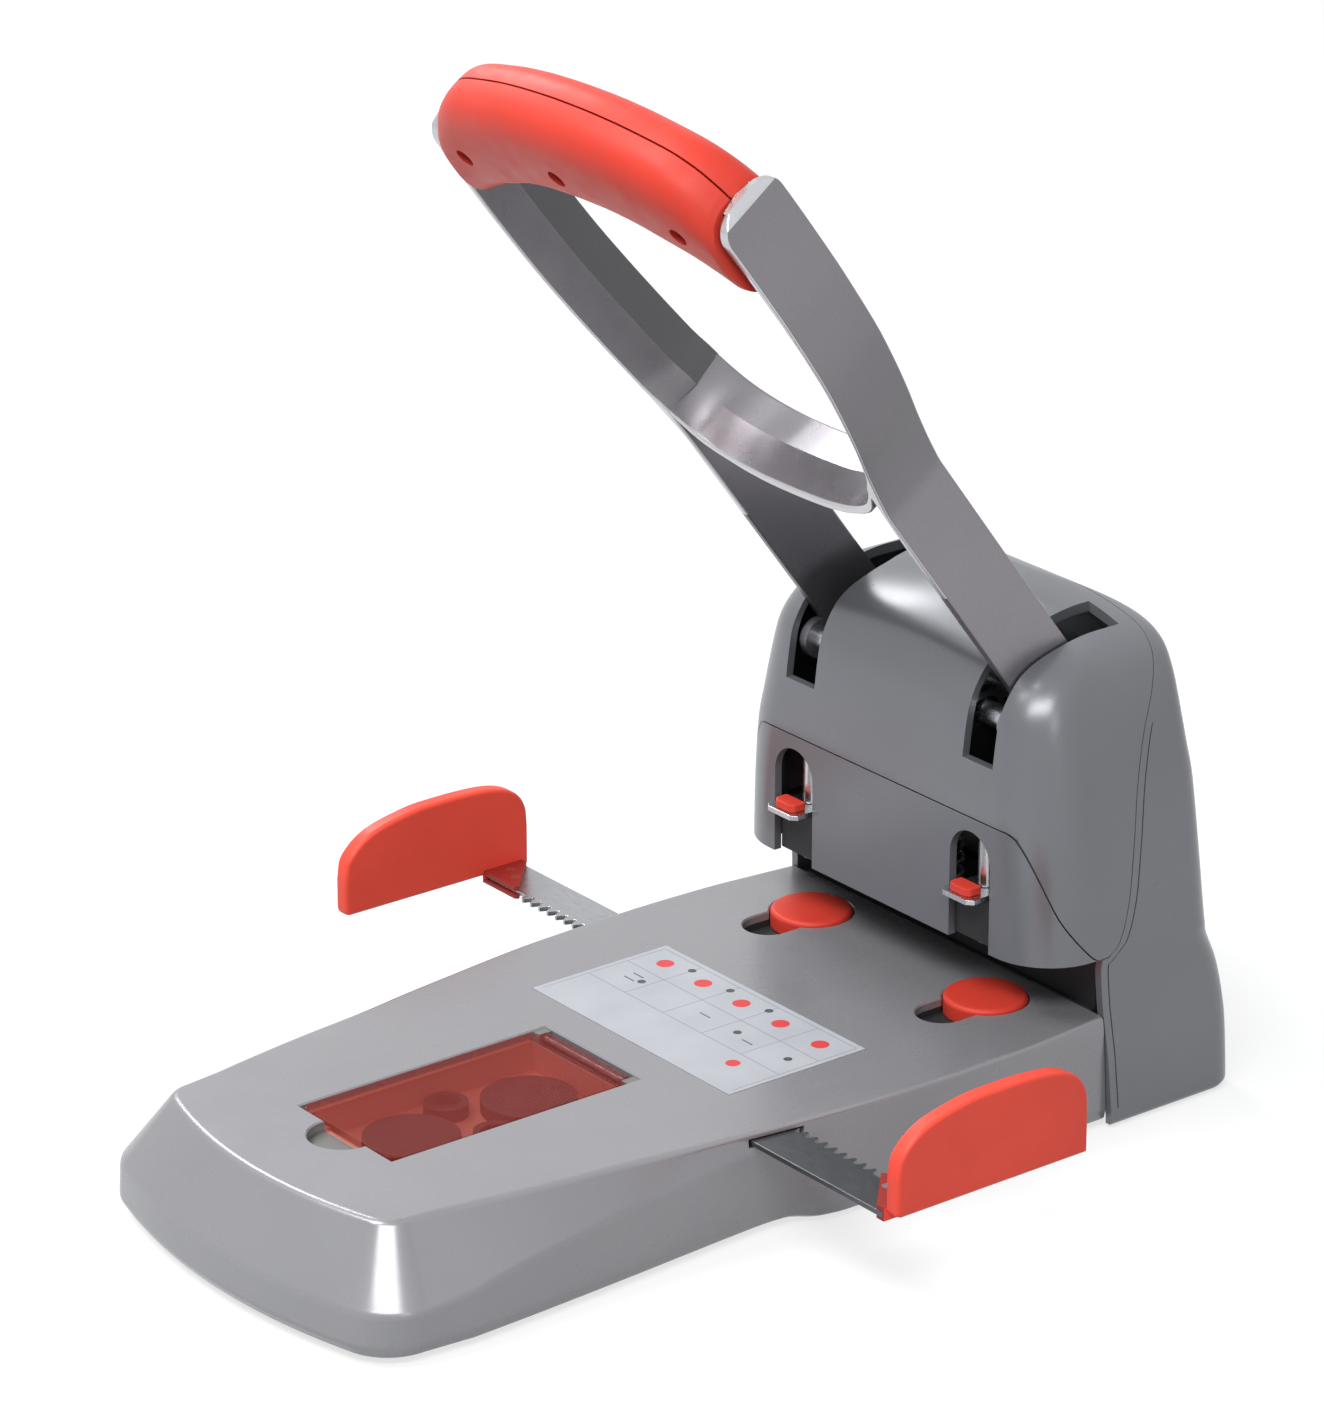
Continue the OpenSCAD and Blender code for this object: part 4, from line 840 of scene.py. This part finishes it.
# %% Arms and bow
def arm(side):
    """One leg and arm, from just above the hub to the rounded top."""
    levels = np.concatenate([np.linspace(70, 146, 12), np.linspace(150, 270, 41),
                             np.linspace(271, TOP_BEVEL[1], 20)])
    outer = np.array([(LEG_OUT, 60), (LEG_OUT, 90)] + LOOP_OUTER, float)
    inner = np.array([(LEG_IN, 60), (LEG_IN, 90), (LEG_IN, 150)] + LOOP_INNER[5:], float)
    rings = []
    for s in levels:
        xo = float(smooth(outer[:, 1], outer[:, 0], [min(s, LOOP_OUTER[-1][1])])[0])
        xo += (TOP_BEVEL[0] - xo) * max(0.0, (s - BEVEL_FROM) / (TOP_BEVEL[1] - BEVEL_FROM))
        xi = float(smooth(inner[:, 1], inner[:, 0], [s])[0])
        ridge = RIDGE * min(max((s - RIDGE_FROM) / RIDGE_FADE, 0.0), 1.0)
        rings.append(band_section((side * xo, s), (side * xi, s), BAND[0] + quarter(s, *FRONT_CORNER),
                                  BAND[1] - quarter(s, *BACK_CORNER), 0.7, ridge))
    return loft("arm", rings)


def bow():
    """The curved bar between the legs."""
    xs = np.linspace(-44.5, 44.5, 61)
    top = smooth(*both_sides(LOOP_INNER[:7]), xs)
    under = smooth(*both_sides(BOW_UNDER), xs)
    return loft("bow", [band_section((x, u), (x, t), BAND[0] + 0.15, BAND[1] - 0.15, 0.9)
                        for x, u, t in zip(xs, under, top)])


handle = arm(1)
handle.name = "handle_casting"
join(handle, arm(-1))
join(handle, bow())
print("arms and bow", len(handle.data.polygons), "faces")

# %% [markdown]
# Below the tower's roof each leg ends in a round hub on the axle, with an ear in front that holds the
# crank rod. They are flat plates, so they are outlines pushed across the leg's thickness. The ear's
# distance from the axle follows from the stroke of the punch and the travel of the handle.

# %% Hubs and ears
PIVOT = (30.0, 79.0)
HUB_R, EAR_R = 11.5, 6.2
AXLE_HOLE_R, CRANK_HOLE_R = 5.05, 3.5
STROKE, TRAVEL, START = 16.5, 38.0, 15.0      # millimetres, and degrees of the crank
PLATE_TOP = 80
crank_r = STROKE / (math.sin(math.radians(START)) + math.sin(math.radians(TRAVEL - START)))
crank = (PIVOT[0] - crank_r * math.cos(math.radians(START)),
         PIVOT[1] + crank_r * math.sin(math.radians(START)))
hub, ear = (BAND[0] + HUB_R, in_plane(*PIVOT)[1]), in_plane(*crank)
to_ear = (ear[0] - hub[0], ear[1] - hub[1])
tangent = math.atan2(to_ear[1], to_ear[0]) + math.acos((HUB_R - EAR_R) / math.hypot(*to_ear))
ear_end = math.acos((BAND[0] - ear[0]) / EAR_R)
leg_plate = [(BAND[1] - 0.2, PLATE_TOP)]
leg_plate += [(hub[0] + HUB_R * math.cos(a), hub[1] + HUB_R * math.sin(a))
              for a in np.linspace(0, tangent - 2 * math.pi, 40)]
leg_plate += [(ear[0] + EAR_R * math.cos(a), ear[1] + EAR_R * math.sin(a))
              for a in np.linspace(tangent, ear_end, 20)]
leg_plate += [(BAND[0] + 0.2, PLATE_TOP)]
for s in (-1, 1):
    x0, x1 = sorted((s * (LEG_IN + 0.05), s * (LEG_OUT - 0.05)))
    join(handle, pushed("leg_foot", leg_plate, x0, x1, lambda n, q, t: tilted(t, n, q)))
cut(handle, rod_x("axle_hole", -50, 50, *PIVOT, AXLE_HOLE_R))
cut(handle, rod_x("crank_hole", -50, 50, *crank, CRANK_HOLE_R))
print("the crank rod swings", round(crank_r, 2), "mm from the axle")

# %% [markdown]
# The casting is one piece with three lacquers, two of them painted light and shade. Which face gets
# which is decided by where it is and where it looks: the front edges and the bevelled top get the pale
# one, a painted highlight, and on the insides of the arms the half behind the ridge gets the dark one,
# painted shade.

# %% Handle finishes
finish_shape(handle, angle=12.5)
for paint in (handle_metal, handle_painted_highlight, handle_shade):
    handle.data.materials.append(paint)
HIGHLIGHT_FROM, SHADE_FROM = 118, 165          # up the arm
ARM_FROM = 44                             # out from the middle
TO_FRONT, TO_REAR, TO_SIDE = -0.3, 0.05, 0.95         # how squarely a face looks that way
backward = Vector((0, math.cos(LEAN), math.sin(LEAN)))
for face in handle.data.polygons:
    place = face.center / MM - Vector(ORIGIN)
    climb = in_plane(place.y, place.z)[1]
    to_rear = face.normal.dot(backward)
    on_bevel = climb > BEVEL_FROM and abs(face.normal.x) < TO_SIDE
    # Pale lacquer as painted highlight on front edges and bevelled top; dark lacquer as painted shade behind
    # the ridge.
    if climb > HIGHLIGHT_FROM and (to_rear < TO_FRONT or on_bevel):
        face.material_index = 1
    elif (climb > SHADE_FROM and abs(place.x) > ARM_FROM and to_rear > TO_REAR
          and face.normal.x * place.x < 0):
        face.material_index = 2
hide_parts("handle_frame")
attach(handle, "handle")
print("handle", len(handle.data.polygons), "faces")

# %% [markdown]
# The grip is two red half shells round a flat bar. Its section is a rounded rectangle that grows a
# little towards the arms and closes in at its ends. It could be a bevelled box, but a superellipse
# gives that section with one number, and its rings can follow the grip's curve.

# %% Grip section
GRIP = [                                  # x, bottom, top
    [0, 268.2, 301], [12, 267.8, 300.6], [24, 265.9, 299.4], [36, 262, 297.2], [46, 258.4, 294.6],
    [54, 254.4, 290.0], [61, 251, 281.4]]
GRIP_N = (57.4, 82.6)
GRIP_ROUND = 0.74                         # 1 is an ellipse, 0 a rectangle
ROUND_FROM, ROUND_BY = 59.4, 0.35         # the ends are drawn in a little, from here outwards


def grip_section(x):
    stations, bottoms, tops = both_sides(GRIP)
    low = float(smooth(stations, bottoms, [x])[0])
    high = float(smooth(stations, tops, [x])[0])
    squeeze = max(0.0, abs(x) - ROUND_FROM) * ROUND_BY
    cn, rn = sum(GRIP_N) / 2, (GRIP_N[1] - GRIP_N[0]) / 2 - squeeze
    cs, rs = (low + high) / 2, (high - low) / 2 - squeeze
    out = []
    for i in range(72):
        a = 2 * math.pi * i / 72
        c, q = math.cos(a), math.sin(a)
        out.append(tilted(x, cn + rn * math.copysign(abs(c)**GRIP_ROUND, c),
                          cs + rs * math.copysign(abs(q)**GRIP_ROUND, q)))
    return np.array(out)


grip_x = np.concatenate([np.linspace(-61, -ROUND_FROM, 5), np.linspace(-57.5, 57.5, 48),
                         np.linspace(ROUND_FROM, 61, 5)])
print("grip of", len(grip_x), "sections, the middle one", round(GRIP[0][2] - GRIP[0][1], 1), "mm high")

# %% [markdown]
# Both halves are cut from the same whole grip, so their outsides line up, and the gap between them is
# the dark seam along the top. A room inside them takes the bar, and the front half is drilled for
# three screws.

# %% Grip halves
CORE = [(-61, 271), (-38, 271), (-24, 277.5), (24, 277.5), (38, 271), (61, 271), (61, 280), (30, 287),
        (-30, 287), (-61, 280)]
CORE_N = (66, 78)
GRIP_SCREWS = [(-47.5, 275.5), (0, 282.5), (47.5, 275.5)]
HEAD_ROOM, SHANK_ROOM = (3, 32, 62.7), (1.6, 24, 75)      # radius, corners, how deep
SPLIT, SPLIT_GAP = 70.5, 0.3


def tilted_block(name, low, high):
    (x0, n0, s0), (x1, n1, s1) = low, high
    return pushed(name, rectangle(n0, s0, n1, s1), x0, x1, lambda n, s, t: tilted(t, n, s))


def through_grip(u, v, t):
    return tilted(u, t, v)


for name, n0, n1 in (("grip_front", 50, SPLIT - SPLIT_GAP), ("grip_rear", SPLIT + SPLIT_GAP, 90)):
    half = loft(name + "_shell", [grip_section(x) for x in grip_x])
    shared(half, tilted_block("half_room", (-70, n0, 240), (70, n1, 310)))
    cut(half, pushed("core_room", CORE, *CORE_N, through_grip))
    if name == "grip_front":
        for x, s in GRIP_SCREWS:
            for r, count, deep in (HEAD_ROOM, SHANK_ROOM):
                cut(half, pushed("screw_room", circle(x, s, r, count), 50, deep, through_grip))
    finish_shape(half, angle=40)
    half.data.materials.append(red)
    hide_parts(name)
    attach(half, "handle")
    print(half.name, len(half.data.polygons), "faces")

# %% [markdown]
# ## Guides, discs and lid
#
# A guide plate is a slab with a high arched outline and softly rounded rims. Rounding a sharp slab
# with a modifier would do, but rings that step inwards by the rule of a quarter circle give the same
# rim with clean, even faces. The outline is drawn once, and a helper moves it inwards.

# %% Guide plate outline
REACH, PLATE_T, RIM = 131.8, 5.5, 1.3
INNER_X = REACH - PLATE_T
PLATE_LONG = 68.5
PLATE = [(0, 11), (0.8, 16.5), (4, 20.9), (10.5, 25), (20, 27.4), (30, 28.7), (40, 28.8), (50, 28.4),
         (57, 27.4), (62.6, 25.3), (66.3, 22), (68.1, 17.8), (PLATE_LONG, 12.6)]
PLATE_Y, PLATE_Z = -110.5, -2.5
plate_outline = [(0.0, 1.6), (0.5, 0.5), (1.6, 0.0), (PLATE_LONG, 0.0)]
plate_outline += [tuple(p) for p in through(PLATE, 4)[::-1]]


def inward(outline, by):
    """The outline moved inwards along its own normals."""
    p = np.asarray(outline, float)
    before, after = np.roll(p, 1, axis=0), np.roll(p, -1, axis=0)
    e0, e1 = p - before, after - p
    e0 /= np.linalg.norm(e0, axis=1, keepdims=True)
    e1 /= np.linalg.norm(e1, axis=1, keepdims=True)
    n0, n1 = np.stack([-e0[:, 1], e0[:, 0]], 1), np.stack([-e1[:, 1], e1[:, 0]], 1)
    mid = n0 + n1
    mid /= np.linalg.norm(mid, axis=1, keepdims=True)
    stretch = 1 / np.maximum((mid * n0).sum(axis=1, keepdims=True), 0.35)
    return p + mid * by * stretch


def plate_slab(name, side):
    """The slab with its two rounded rims, as rings across its thickness."""
    turns = [math.radians(t) for t in np.linspace(0, 90, 6)]
    rings = [(INNER_X + RIM * (1 - math.sin(a)), RIM * (1 - math.cos(a))) for a in turns[::-1]]
    rings += [(REACH - RIM + RIM * math.sin(a), RIM * (1 - math.cos(a))) for a in turns]
    return loft(name, [np.array([(side * x, PLATE_Y + y, PLATE_Z + z)
                                 for y, z in inward(plate_outline, by)]) for x, by in rings])


print("plate outline of", len(plate_outline), "points")

# %% [markdown]
# The plate's foot is a thin block that grips the toothed bar, with one corner cut slanting. It is the
# same plastic, but it lies in the plate's shade and looks much darker in the photograph, so its faces
# get the darker red.

# %% Guide plates
BAR_TOP, BAR_T, BAR_W = -1.9, 1.6, 16.0
FOOT_LONG, FOOT_HALF, FOOT_UNDER, FOOT_OVER = 16.5, 7.2, 1, 1.4
RIVETS, RIVET_R = ((9.5, 4), (4, 1.5)), 1.5
for side, name in ((-1, "left"), (1, "right")):
    plate = plate_slab("guide_plate_shape_" + name, side)
    bar_mid = GUIDE_Y - side * (PINION_R + BAR_W / 2 - 0.6)
    near_y, far_y = bar_mid + side * FOOT_HALF, bar_mid - side * FOOT_HALF
    end_x = INNER_X - FOOT_LONG
    foot = [(INNER_X + 0.6, near_y), (end_x + 0.8, near_y), (end_x, near_y - side * 0.8),
            (end_x, bar_mid + side * 6), (INNER_X - 2.5, far_y), (INNER_X + 0.6, far_y)]
    join(plate, pushed("foot", [(side * x, y) for x, y in foot],
                       BAR_TOP - BAR_T - FOOT_UNDER, BAR_TOP + FOOT_OVER))
    x0, x1 = sorted((side * (end_x - 1), side * INNER_X))
    cut(plate, block("bar_seat", (x0, bar_mid - 9, BAR_TOP - BAR_T), (x1, bar_mid + 9, BAR_TOP)))
    for out, aside in RIVETS:
        rivet_y = GUIDE_Y - side * (PINION_R + 9 - aside)
        cut(plate, pushed("rivet_room", circle(side * (INNER_X - out), rivet_y, RIVET_R, 32), -8, 2))
    finish_shape(plate, angle=35)
    # The plate's brighter red is painted light.
    plate.data.materials.append(red_plate_painted_light)
    plate.data.materials.append(red_foot_painted_shade)
    # The foot's faces get the darker red: painted shade.
    for face in plate.data.polygons:
        if abs(face.center.x) < (INNER_X - 0.2) * MM:
            face.material_index = 1
    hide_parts("guide_plate_" + name)
    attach(plate, "guide_" + name)
    print(plate.name, len(plate.data.polygons), "faces")

# %% [markdown]
# The two return springs are squeezed as the beam goes down, and a stiff spring would be pushed through
# the plate below it. Each is drawn again from its helix and rides on the beam.

# %% Return springs
COILS, COIL_R, WIRE_R = 6, 5.0, 0.8


def helix(name, x, y, low, high):
    """A round wire wound upwards, as rings along it."""
    rings = []
    for t in np.linspace(0, 1, COILS * 24 + 1):
        a = 2 * math.pi * COILS * t
        z = low + WIRE_R + (high - low - 2 * WIRE_R) * t
        rings.append(np.array([(x + (COIL_R + WIRE_R * math.cos(b)) * math.cos(a),
                                y + (COIL_R + WIRE_R * math.cos(b)) * math.sin(a),
                                z + WIRE_R * math.sin(b))
                               for b in np.linspace(0, 2 * math.pi, 10, endpoint=False)]))
    return loft(name, rings)


for name in ("return_spring_left", "return_spring_right"):
    bottom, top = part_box(name)
    low, high = (Vector(corner) / MM - Vector(ORIGIN) for corner in (bottom, top))
    middle = (low + high) / 2
    spring = helix(name + "_wire", middle.x, middle.y, low.z, high.z)
    finish_shape(spring, angle=40)
    spring.data.materials.append(bright)
    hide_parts(name)
    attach(spring, "punch_beam")
    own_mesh(spring)

# %% [markdown]
# The cutting discs are turned a little when a cut becomes ragged. Each is a plain button: a lathe
# profile with a soft rim, standing a little out of the table.

# %% Cutting discs
def lathe(name, profile, cx, cy):
    """A turned solid from a profile of (radius, height), bottom first."""
    rings = [np.array([(cx + r * math.cos(a), cy + r * math.sin(a), z)
                       for a in np.linspace(0, 2 * math.pi, 96, endpoint=False)]) for r, z in profile]
    return loft(name, rings)


CUP_FLOOR = -4.6
DISC_TOP = 1.4
RIM_FROM, RIM_WIDE, RIM_HIGH = -0.2, 1.5, 1.45
disc_profile = [(2, CUP_FLOOR + 0.1), (DISC_R - 0.4, CUP_FLOOR + 0.1), (DISC_R, CUP_FLOOR + 0.5),
                (DISC_R, RIM_FROM)]
disc_profile += [(DISC_R - RIM_WIDE * (1 - math.cos(a)), RIM_FROM + RIM_HIGH * math.sin(a))
                 for a in np.linspace(0.1, math.pi / 2, 8)]
disc_profile += [(DISC_R - 3.5, DISC_TOP - 0.08), (DISC_R - 6, DISC_TOP - 0.02), (4, DISC_TOP), (1, DISC_TOP)]
for side, name in ((-1, "left"), (1, "right")):
    disc = lathe("disc_button_" + name, disc_profile, side * HALF_PITCH, 0)
    finish_shape(disc, angle=50)
    disc.data.materials.append(red)
    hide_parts("cutting_disc_" + name)
    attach(disc, "disc_" + name)
print("discs of", len(disc.data.polygons), "faces")

# %% [markdown]
# The lid is a thin pane with a soft edge, a tongue at the rear and a barrel for its hinge pin.

# %% Storage lid
LID_T, LID_SOFT, LID_CORNER = 2.4, 0.35, 2.1
HINGE = (LID_REAR - 2.2, -2.2)
TONGUE = 19                               # half its width, and half the barrel's length
BARREL_R, BORE_R = 2.2, 1.25
lid_levels = ((-LID_T, LID_SOFT), (-LID_T + LID_SOFT, 0), (-LID_SOFT, 0), (-0.1, 0.1), (0, LID_SOFT))
lid_outline = [(-LID_W / 2 + LID_CORNER, LID_FRONT), (LID_W / 2 - LID_CORNER, LID_FRONT),
               (LID_W / 2, LID_FRONT + LID_CORNER), (LID_W / 2, HINGE[0] - 3),
               (-LID_W / 2, HINGE[0] - 3), (-LID_W / 2, LID_FRONT + LID_CORNER)]
lid = loft("lid_pane", [np.array([(x, y, z) for x, y in inward(lid_outline, by)]) for z, by in lid_levels])
join(lid, block("lid_tongue", (-TONGUE, LID_FRONT + 10, -2.35), (TONGUE, HINGE[0], -0.05)))
join(lid, rod_x("lid_barrel", -TONGUE, TONGUE, *HINGE, BARREL_R))
cut(lid, rod_x("lid_bore", -30, 30, *HINGE, BORE_R))
finish_shape(lid, angle=30)
print("lid", len(lid.data.polygons), "faces")

# %% [markdown]
# The lid is see-through red. The spare discs and rings in the box below show through it as dark
# circles, so nothing is painted on: the finish lets most of the light through and the real pieces do
# the rest. Glass that bends the light could be used too. Plain transparency was chosen, because it is
# quick and what lies below stays in its place.
#
# In the photograph the inside of the box looks red as well. The pane alone doesn't make it red enough,
# so the red light through the pane is painted on the tray's inside as a reddish colour, and the tray
# stays grey where the thumb notch shows it.

# %% Lid and tray finishes
pane = Finish("clear_red_plastic")
pane.colour(pane.clouded(40, 2.0, linear((152, 34, 22)), linear((158, 38, 26))))
pane.bump(pane.noise(300, 1.0), 0.05, 0.03)
pane.set(Roughness=0.25, Alpha=0.3, IOR=1.49, Specular_IOR_Level=0.2)
lid.data.materials.append(pane.material)
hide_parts("storage_lid")
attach(lid, "storage_lid")

BOX_SHORTER = 2.8                         # half of what the box lacks of the lid's length, at the rear
tray = Finish("tray_painted_red_light")
room_mid = (LID_FRONT + LID_REAR) / 2 - BOX_SHORTER + ORIGIN[1]
outside = tray.maths("GREATER_THAN", tray.far_from(tray.split(tray.place)["Y"], room_mid * MM),
                     (LID_LONG / 2 - BOX_SHORTER) * MM)
# Inside the lid's reach the tray is painted red: the red light through the pane, painted on.
tray.colour(tray.mix(outside, tray.clouded(45, 3.0, linear((200, 116, 98)), linear((206, 122, 104))),
                     tray.clouded(45, 3.0, linear((112, 112, 110)), linear((118, 118, 116)))))
tray.set(Roughness=0.5)
print("lid and tray finished; the tray's red part is", round(LID_LONG - 2 * BOX_SHORTER, 1), "mm long")

# %% [markdown]
# ## The hole sheet
#
# The pale plate in front of the tower shows where holes go. Its print is generic here: fine lines, a
# row of red dots and small dark dots. Printing is a matter of colour, not of shape, so it is a finish:
# each line is a place where a coordinate is close to a number, each dot a place close to a point.

# %% Marks on the sheet
sheet = Finish("hole_sheet")
sheet_at = sheet.split(sheet.place)
sheet_x, sheet_y = sheet_at["X"], sheet_at["Y"]
MIDDLE_Y = (LABEL_Y + ORIGIN[1]) * MM


def near(value, centre, width):
    return sheet.maths("LESS_THAN", sheet.far_from(value, centre), width)


def inside(x0, x1, y0, y1):
    """1 within a rectangle of the sheet, in millimetres from its middle."""
    wide = near(sheet_x, (x0 + x1) / 2 * MM, (x1 - x0) / 2 * MM)
    deep = near(sheet_y, MIDDLE_Y + (y0 + y1) / 2 * MM, (y1 - y0) / 2 * MM)
    return sheet.maths("MULTIPLY", wide, deep)


def dot(x, y, r):
    """1 within a circle of the sheet."""
    flat = sheet.nodes.new("ShaderNodeCombineXYZ")
    sheet.wire(sheet_x, flat.inputs["X"])
    sheet.wire(sheet_y, flat.inputs["Y"])
    distance = sheet.nodes.new("ShaderNodeVectorMath")
    distance.operation = "DISTANCE"
    sheet.wire(flat.outputs["Vector"], distance.inputs[0])
    distance.inputs[1].default_value = (x * MM, MIDDLE_Y + y * MM, 0)
    return sheet.maths("LESS_THAN", distance.outputs["Value"], r * MM)


def any_of(marks):
    total = marks[0]
    for mark in marks[1:]:
        total = sheet.maths("MAXIMUM", total, mark)
    return total


print("the sheet's middle is at y", round(MIDDLE_Y, 4))

# %% [markdown]
# The sheet has a border, a heading row with five boxes, a row of places below it and a free field.
# The lines are pale and the dots strong, as a thin print would be.

# %% Hole sheet finish
BORDER, TOP_ROW, MIDDLE_ROW, LOW_ROW, BOTTOM = 44.5, 23, 9, -5.5, -22.5
THIN = 0.16
RED_DOTS = [(x, 16.5, 2.7) for x in (-36, -18, 0, 18, 36)] + [(30.5, -11, 2.2)]
DARK_DOTS = [(-27, 19.5), (-9, 19.5), (9, 19.5), (-30, 3), (15, 3), (38, 3)]
DASHES = [(-34, 5), (-34, 1.5), (0, 3), (22, 1)]
DARK_R, DASH_HALF, DASH_THIN = 1.3, 2.4, 0.25
lines = [inside(-BORDER, BORDER, y - THIN, y + THIN) for y in (TOP_ROW, MIDDLE_ROW, LOW_ROW)]
lines += [inside(x - THIN, x + THIN, BOTTOM, TOP_ROW) for x in (-BORDER, BORDER)]
lines += [inside(x - THIN, x + THIN, LOW_ROW, TOP_ROW) for x in (-27, -9, 9, 27)]
reds = [dot(x, y, r) for x, y, r in RED_DOTS]
darks = [dot(x, y, DARK_R) for x, y in DARK_DOTS]
darks += [inside(x - DASH_HALF, x + DASH_HALF, y - DASH_THIN, y + DASH_THIN) for x, y in DASHES]
paper = sheet.clouded(60, 2.0, linear((174, 177, 184)), linear((183, 186, 192)))
inked = sheet.mix(sheet.maths("MULTIPLY", any_of(lines), 0.75), paper, linear((120, 124, 132)))
inked = sheet.mix(any_of(darks), inked, linear((70, 72, 78)))
inked = sheet.mix(any_of(reds), inked, linear((214, 62, 62)))
sheet.colour(inked)
sheet.bump(sheet.noise(700, 2.0), 0.08, 0.02)
sheet.set(Roughness=0.45, Specular_IOR_Level=0.4)
print("sheet marks:", len(lines), "lines", len(reds), "red and", len(darks), "dark marks")

# %% [markdown]
# ## Everything else
#
# The small parts are right as they come from the model: pins, plates, screws, the drawer. Two things
# are missing on them, a finish and the tiny radius that every real edge has. Two modifiers add the
# radius without touching the part itself: one welds the corners, one rounds the edges.

# %% Finishes for the carried-over parts
BY_SLOT = {
    "silver_shell": silver, "grey_shell": grey, "handle_metal": handle_metal, "red_plastic": red,
    "clear_red": pane.material, "steel": steel, "bright_steel": bright, "dark_plastic": dark,
    "rubber": rubber, "label_white": sheet.material, "brass": brass}
# The left guide bar gets the paler steel, painted light.
BY_NAME = {"storage_tray": tray.material, "spare_discs": spare, "spare_rings": spare,
           "guide_bar_left": steel_painted_light}
for name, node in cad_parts.items():
    slots = [other.material.name.split(".")[0] for other in node.material_slots if other.material]
    finish = BY_NAME.get(name) or BY_SLOT.get(slots[-1] if slots else None, steel)
    if not node.material_slots:
        node.data.materials.append(finish)
    for other in node.material_slots:
        other.material = finish
print("finished", len(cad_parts), "parts")

# %% [markdown]
# The radius of an edge depends on how the part is made: a stamped sheet has a small one, most moulded
# blocks have half a millimetre, and the drawer, which fingers pull, has the most.

# %% Soft edges
SOFT_EDGES = {
    0.2: ("guide_bar_left", "guide_bar_right", "disc_cup_left", "disc_cup_right", "storage_tray"),
    0.25: ("release_clip_left", "release_clip_right"),
    0.3: ("head_plate", "frame_side_left", "frame_side_right", "handle_core"),
    0.4: ("paper_stop", "punch_beam"),
    0.5: ("clip_tip_left", "clip_tip_right", "pin_guide_left", "pin_guide_right", "rubber_feet"),
    0.8: ("chip_drawer",)}
for radius, names in SOFT_EDGES.items():
    for name in names:
        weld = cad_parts[name].modifiers.new("weld", "WELD")
        weld.merge_threshold = 1e-6
        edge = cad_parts[name].modifiers.new("rounded_edges", "BEVEL")
        edge.width, edge.segments = radius * MM, 2
        edge.limit_method, edge.angle_limit = "ANGLE", math.radians(35)
print("rounded", sum(len(names) for names in SOFT_EDGES.values()), "parts")

# %% [markdown]
# ## The stage
#
# The machine stands on a wide floor in a pale room. The photograph's background is plain white, but a
# white floor would throw too much light back up on the machine's sides. So floor and room look white
# only to rays from the camera, from reflections and through clear parts. All other rays find a grey
# floor and a dim room.

# %% Floor
DESK = -36.5
FLOOR_HALF, FLOOR_T = 4000, 10
FLOOR_GLOW = 0.72


def seen_directly(net):
    """1 for a ray from the camera, from a reflection or through a clear part, else 0."""
    rays = net.nodes.new("ShaderNodeLightPath").outputs
    seen = rays["Is Camera Ray"]
    for kind in ("Is Glossy Ray", "Is Transmission Ray"):
        most = net.nodes.new("ShaderNodeMath")
        most.operation = "MAXIMUM"
        net.links.new(seen, most.inputs[0])
        net.links.new(rays[kind], most.inputs[1])
        seen = most.outputs["Value"]
    return seen


floor = block("floor", (-FLOOR_HALF, -FLOOR_HALF, DESK - FLOOR_T), (FLOOR_HALF, FLOOR_HALF, DESK))
ground = Finish("pale_floor")
ground.colour(ground.clouded(3, 2.0, linear((158, 159, 160)), linear((161, 162, 163))))
ground.set(Roughness=0.9, Specular_IOR_Level=0.1, Emission_Color=(1, 1, 1, 1))
ground.wire(ground.maths("MULTIPLY", seen_directly(ground.material.node_tree), FLOOR_GLOW),
            ground.shader.inputs["Emission Strength"])
floor.data.materials.append(ground.material)
print("the floor lies at", round((DESK + ORIGIN[2]) * MM, 4), "m")

# %% [markdown]
# The world has two backgrounds: a dim bluish one that lights the machine, and a white one that is
# seen. The same test of the ray chooses between them.

# %% World
world = bpy.data.worlds.new("studio")
world.use_nodes = True
scene.world = world
net = world.node_tree
dim = net.nodes["Background"]
dim.inputs["Color"].default_value = (0.82, 0.84, 0.87, 1)
dim.inputs["Strength"].default_value = 0.24
white = net.nodes.new("ShaderNodeBackground")
white.inputs["Color"].default_value = (1, 1, 1, 1)
white.inputs["Strength"].default_value = 1.0
blend = net.nodes.new("ShaderNodeMixShader")
net.links.new(seen_directly(net), blend.inputs["Fac"])
net.links.new(dim.outputs["Background"], blend.inputs[1])
net.links.new(white.outputs["Background"], blend.inputs[2])
net.links.new(blend.outputs["Shader"], net.nodes["World Output"].inputs["Surface"])
print("world of", len(net.nodes), "nodes")

# %% [markdown]
# Four soft lamps. The key lamp, high in front and on the left, lights the tops and the front. The
# corner lamp is a long strip, and its reflection is the bright band on the base's front corner. The
# left lamp lights the hood from the far side, and the weak side lamp lights the right side.

# %% Lamps
def lamp(name, at, aim, size, power):
    data = bpy.data.lights.new(name, "AREA")
    data.shape, data.size, data.size_y, data.energy = "RECTANGLE", size[0], size[1], power
    obj = bpy.data.objects.new(name, data)
    scene.collection.objects.link(obj)
    obj.location = at
    obj.rotation_euler = (Vector(at) - Vector(aim)).to_track_quat("Z", "Y").to_euler()


lamp("key_lamp", (-0.5, -1.0, 2.1), (0, 0, 0.1), (1.0, 1.0), 32)
lamp("corner_lamp", (0.95, -1.1, 1.6), (0, 0, 0.1), (1.5, 0.5), 26)
lamp("left_lamp", (-1.45, 0.3, 1.25), (0, 0.05, 0.15), (0.4, 0.6), 9)
lamp("side_lamp", (1.9, -0.5, 0.9), (0, 0, 0.05), (0.5, 0.8), 2.5)
scene.view_settings.view_transform = "Standard"
print("lamps:", [light.name for light in bpy.data.lights])
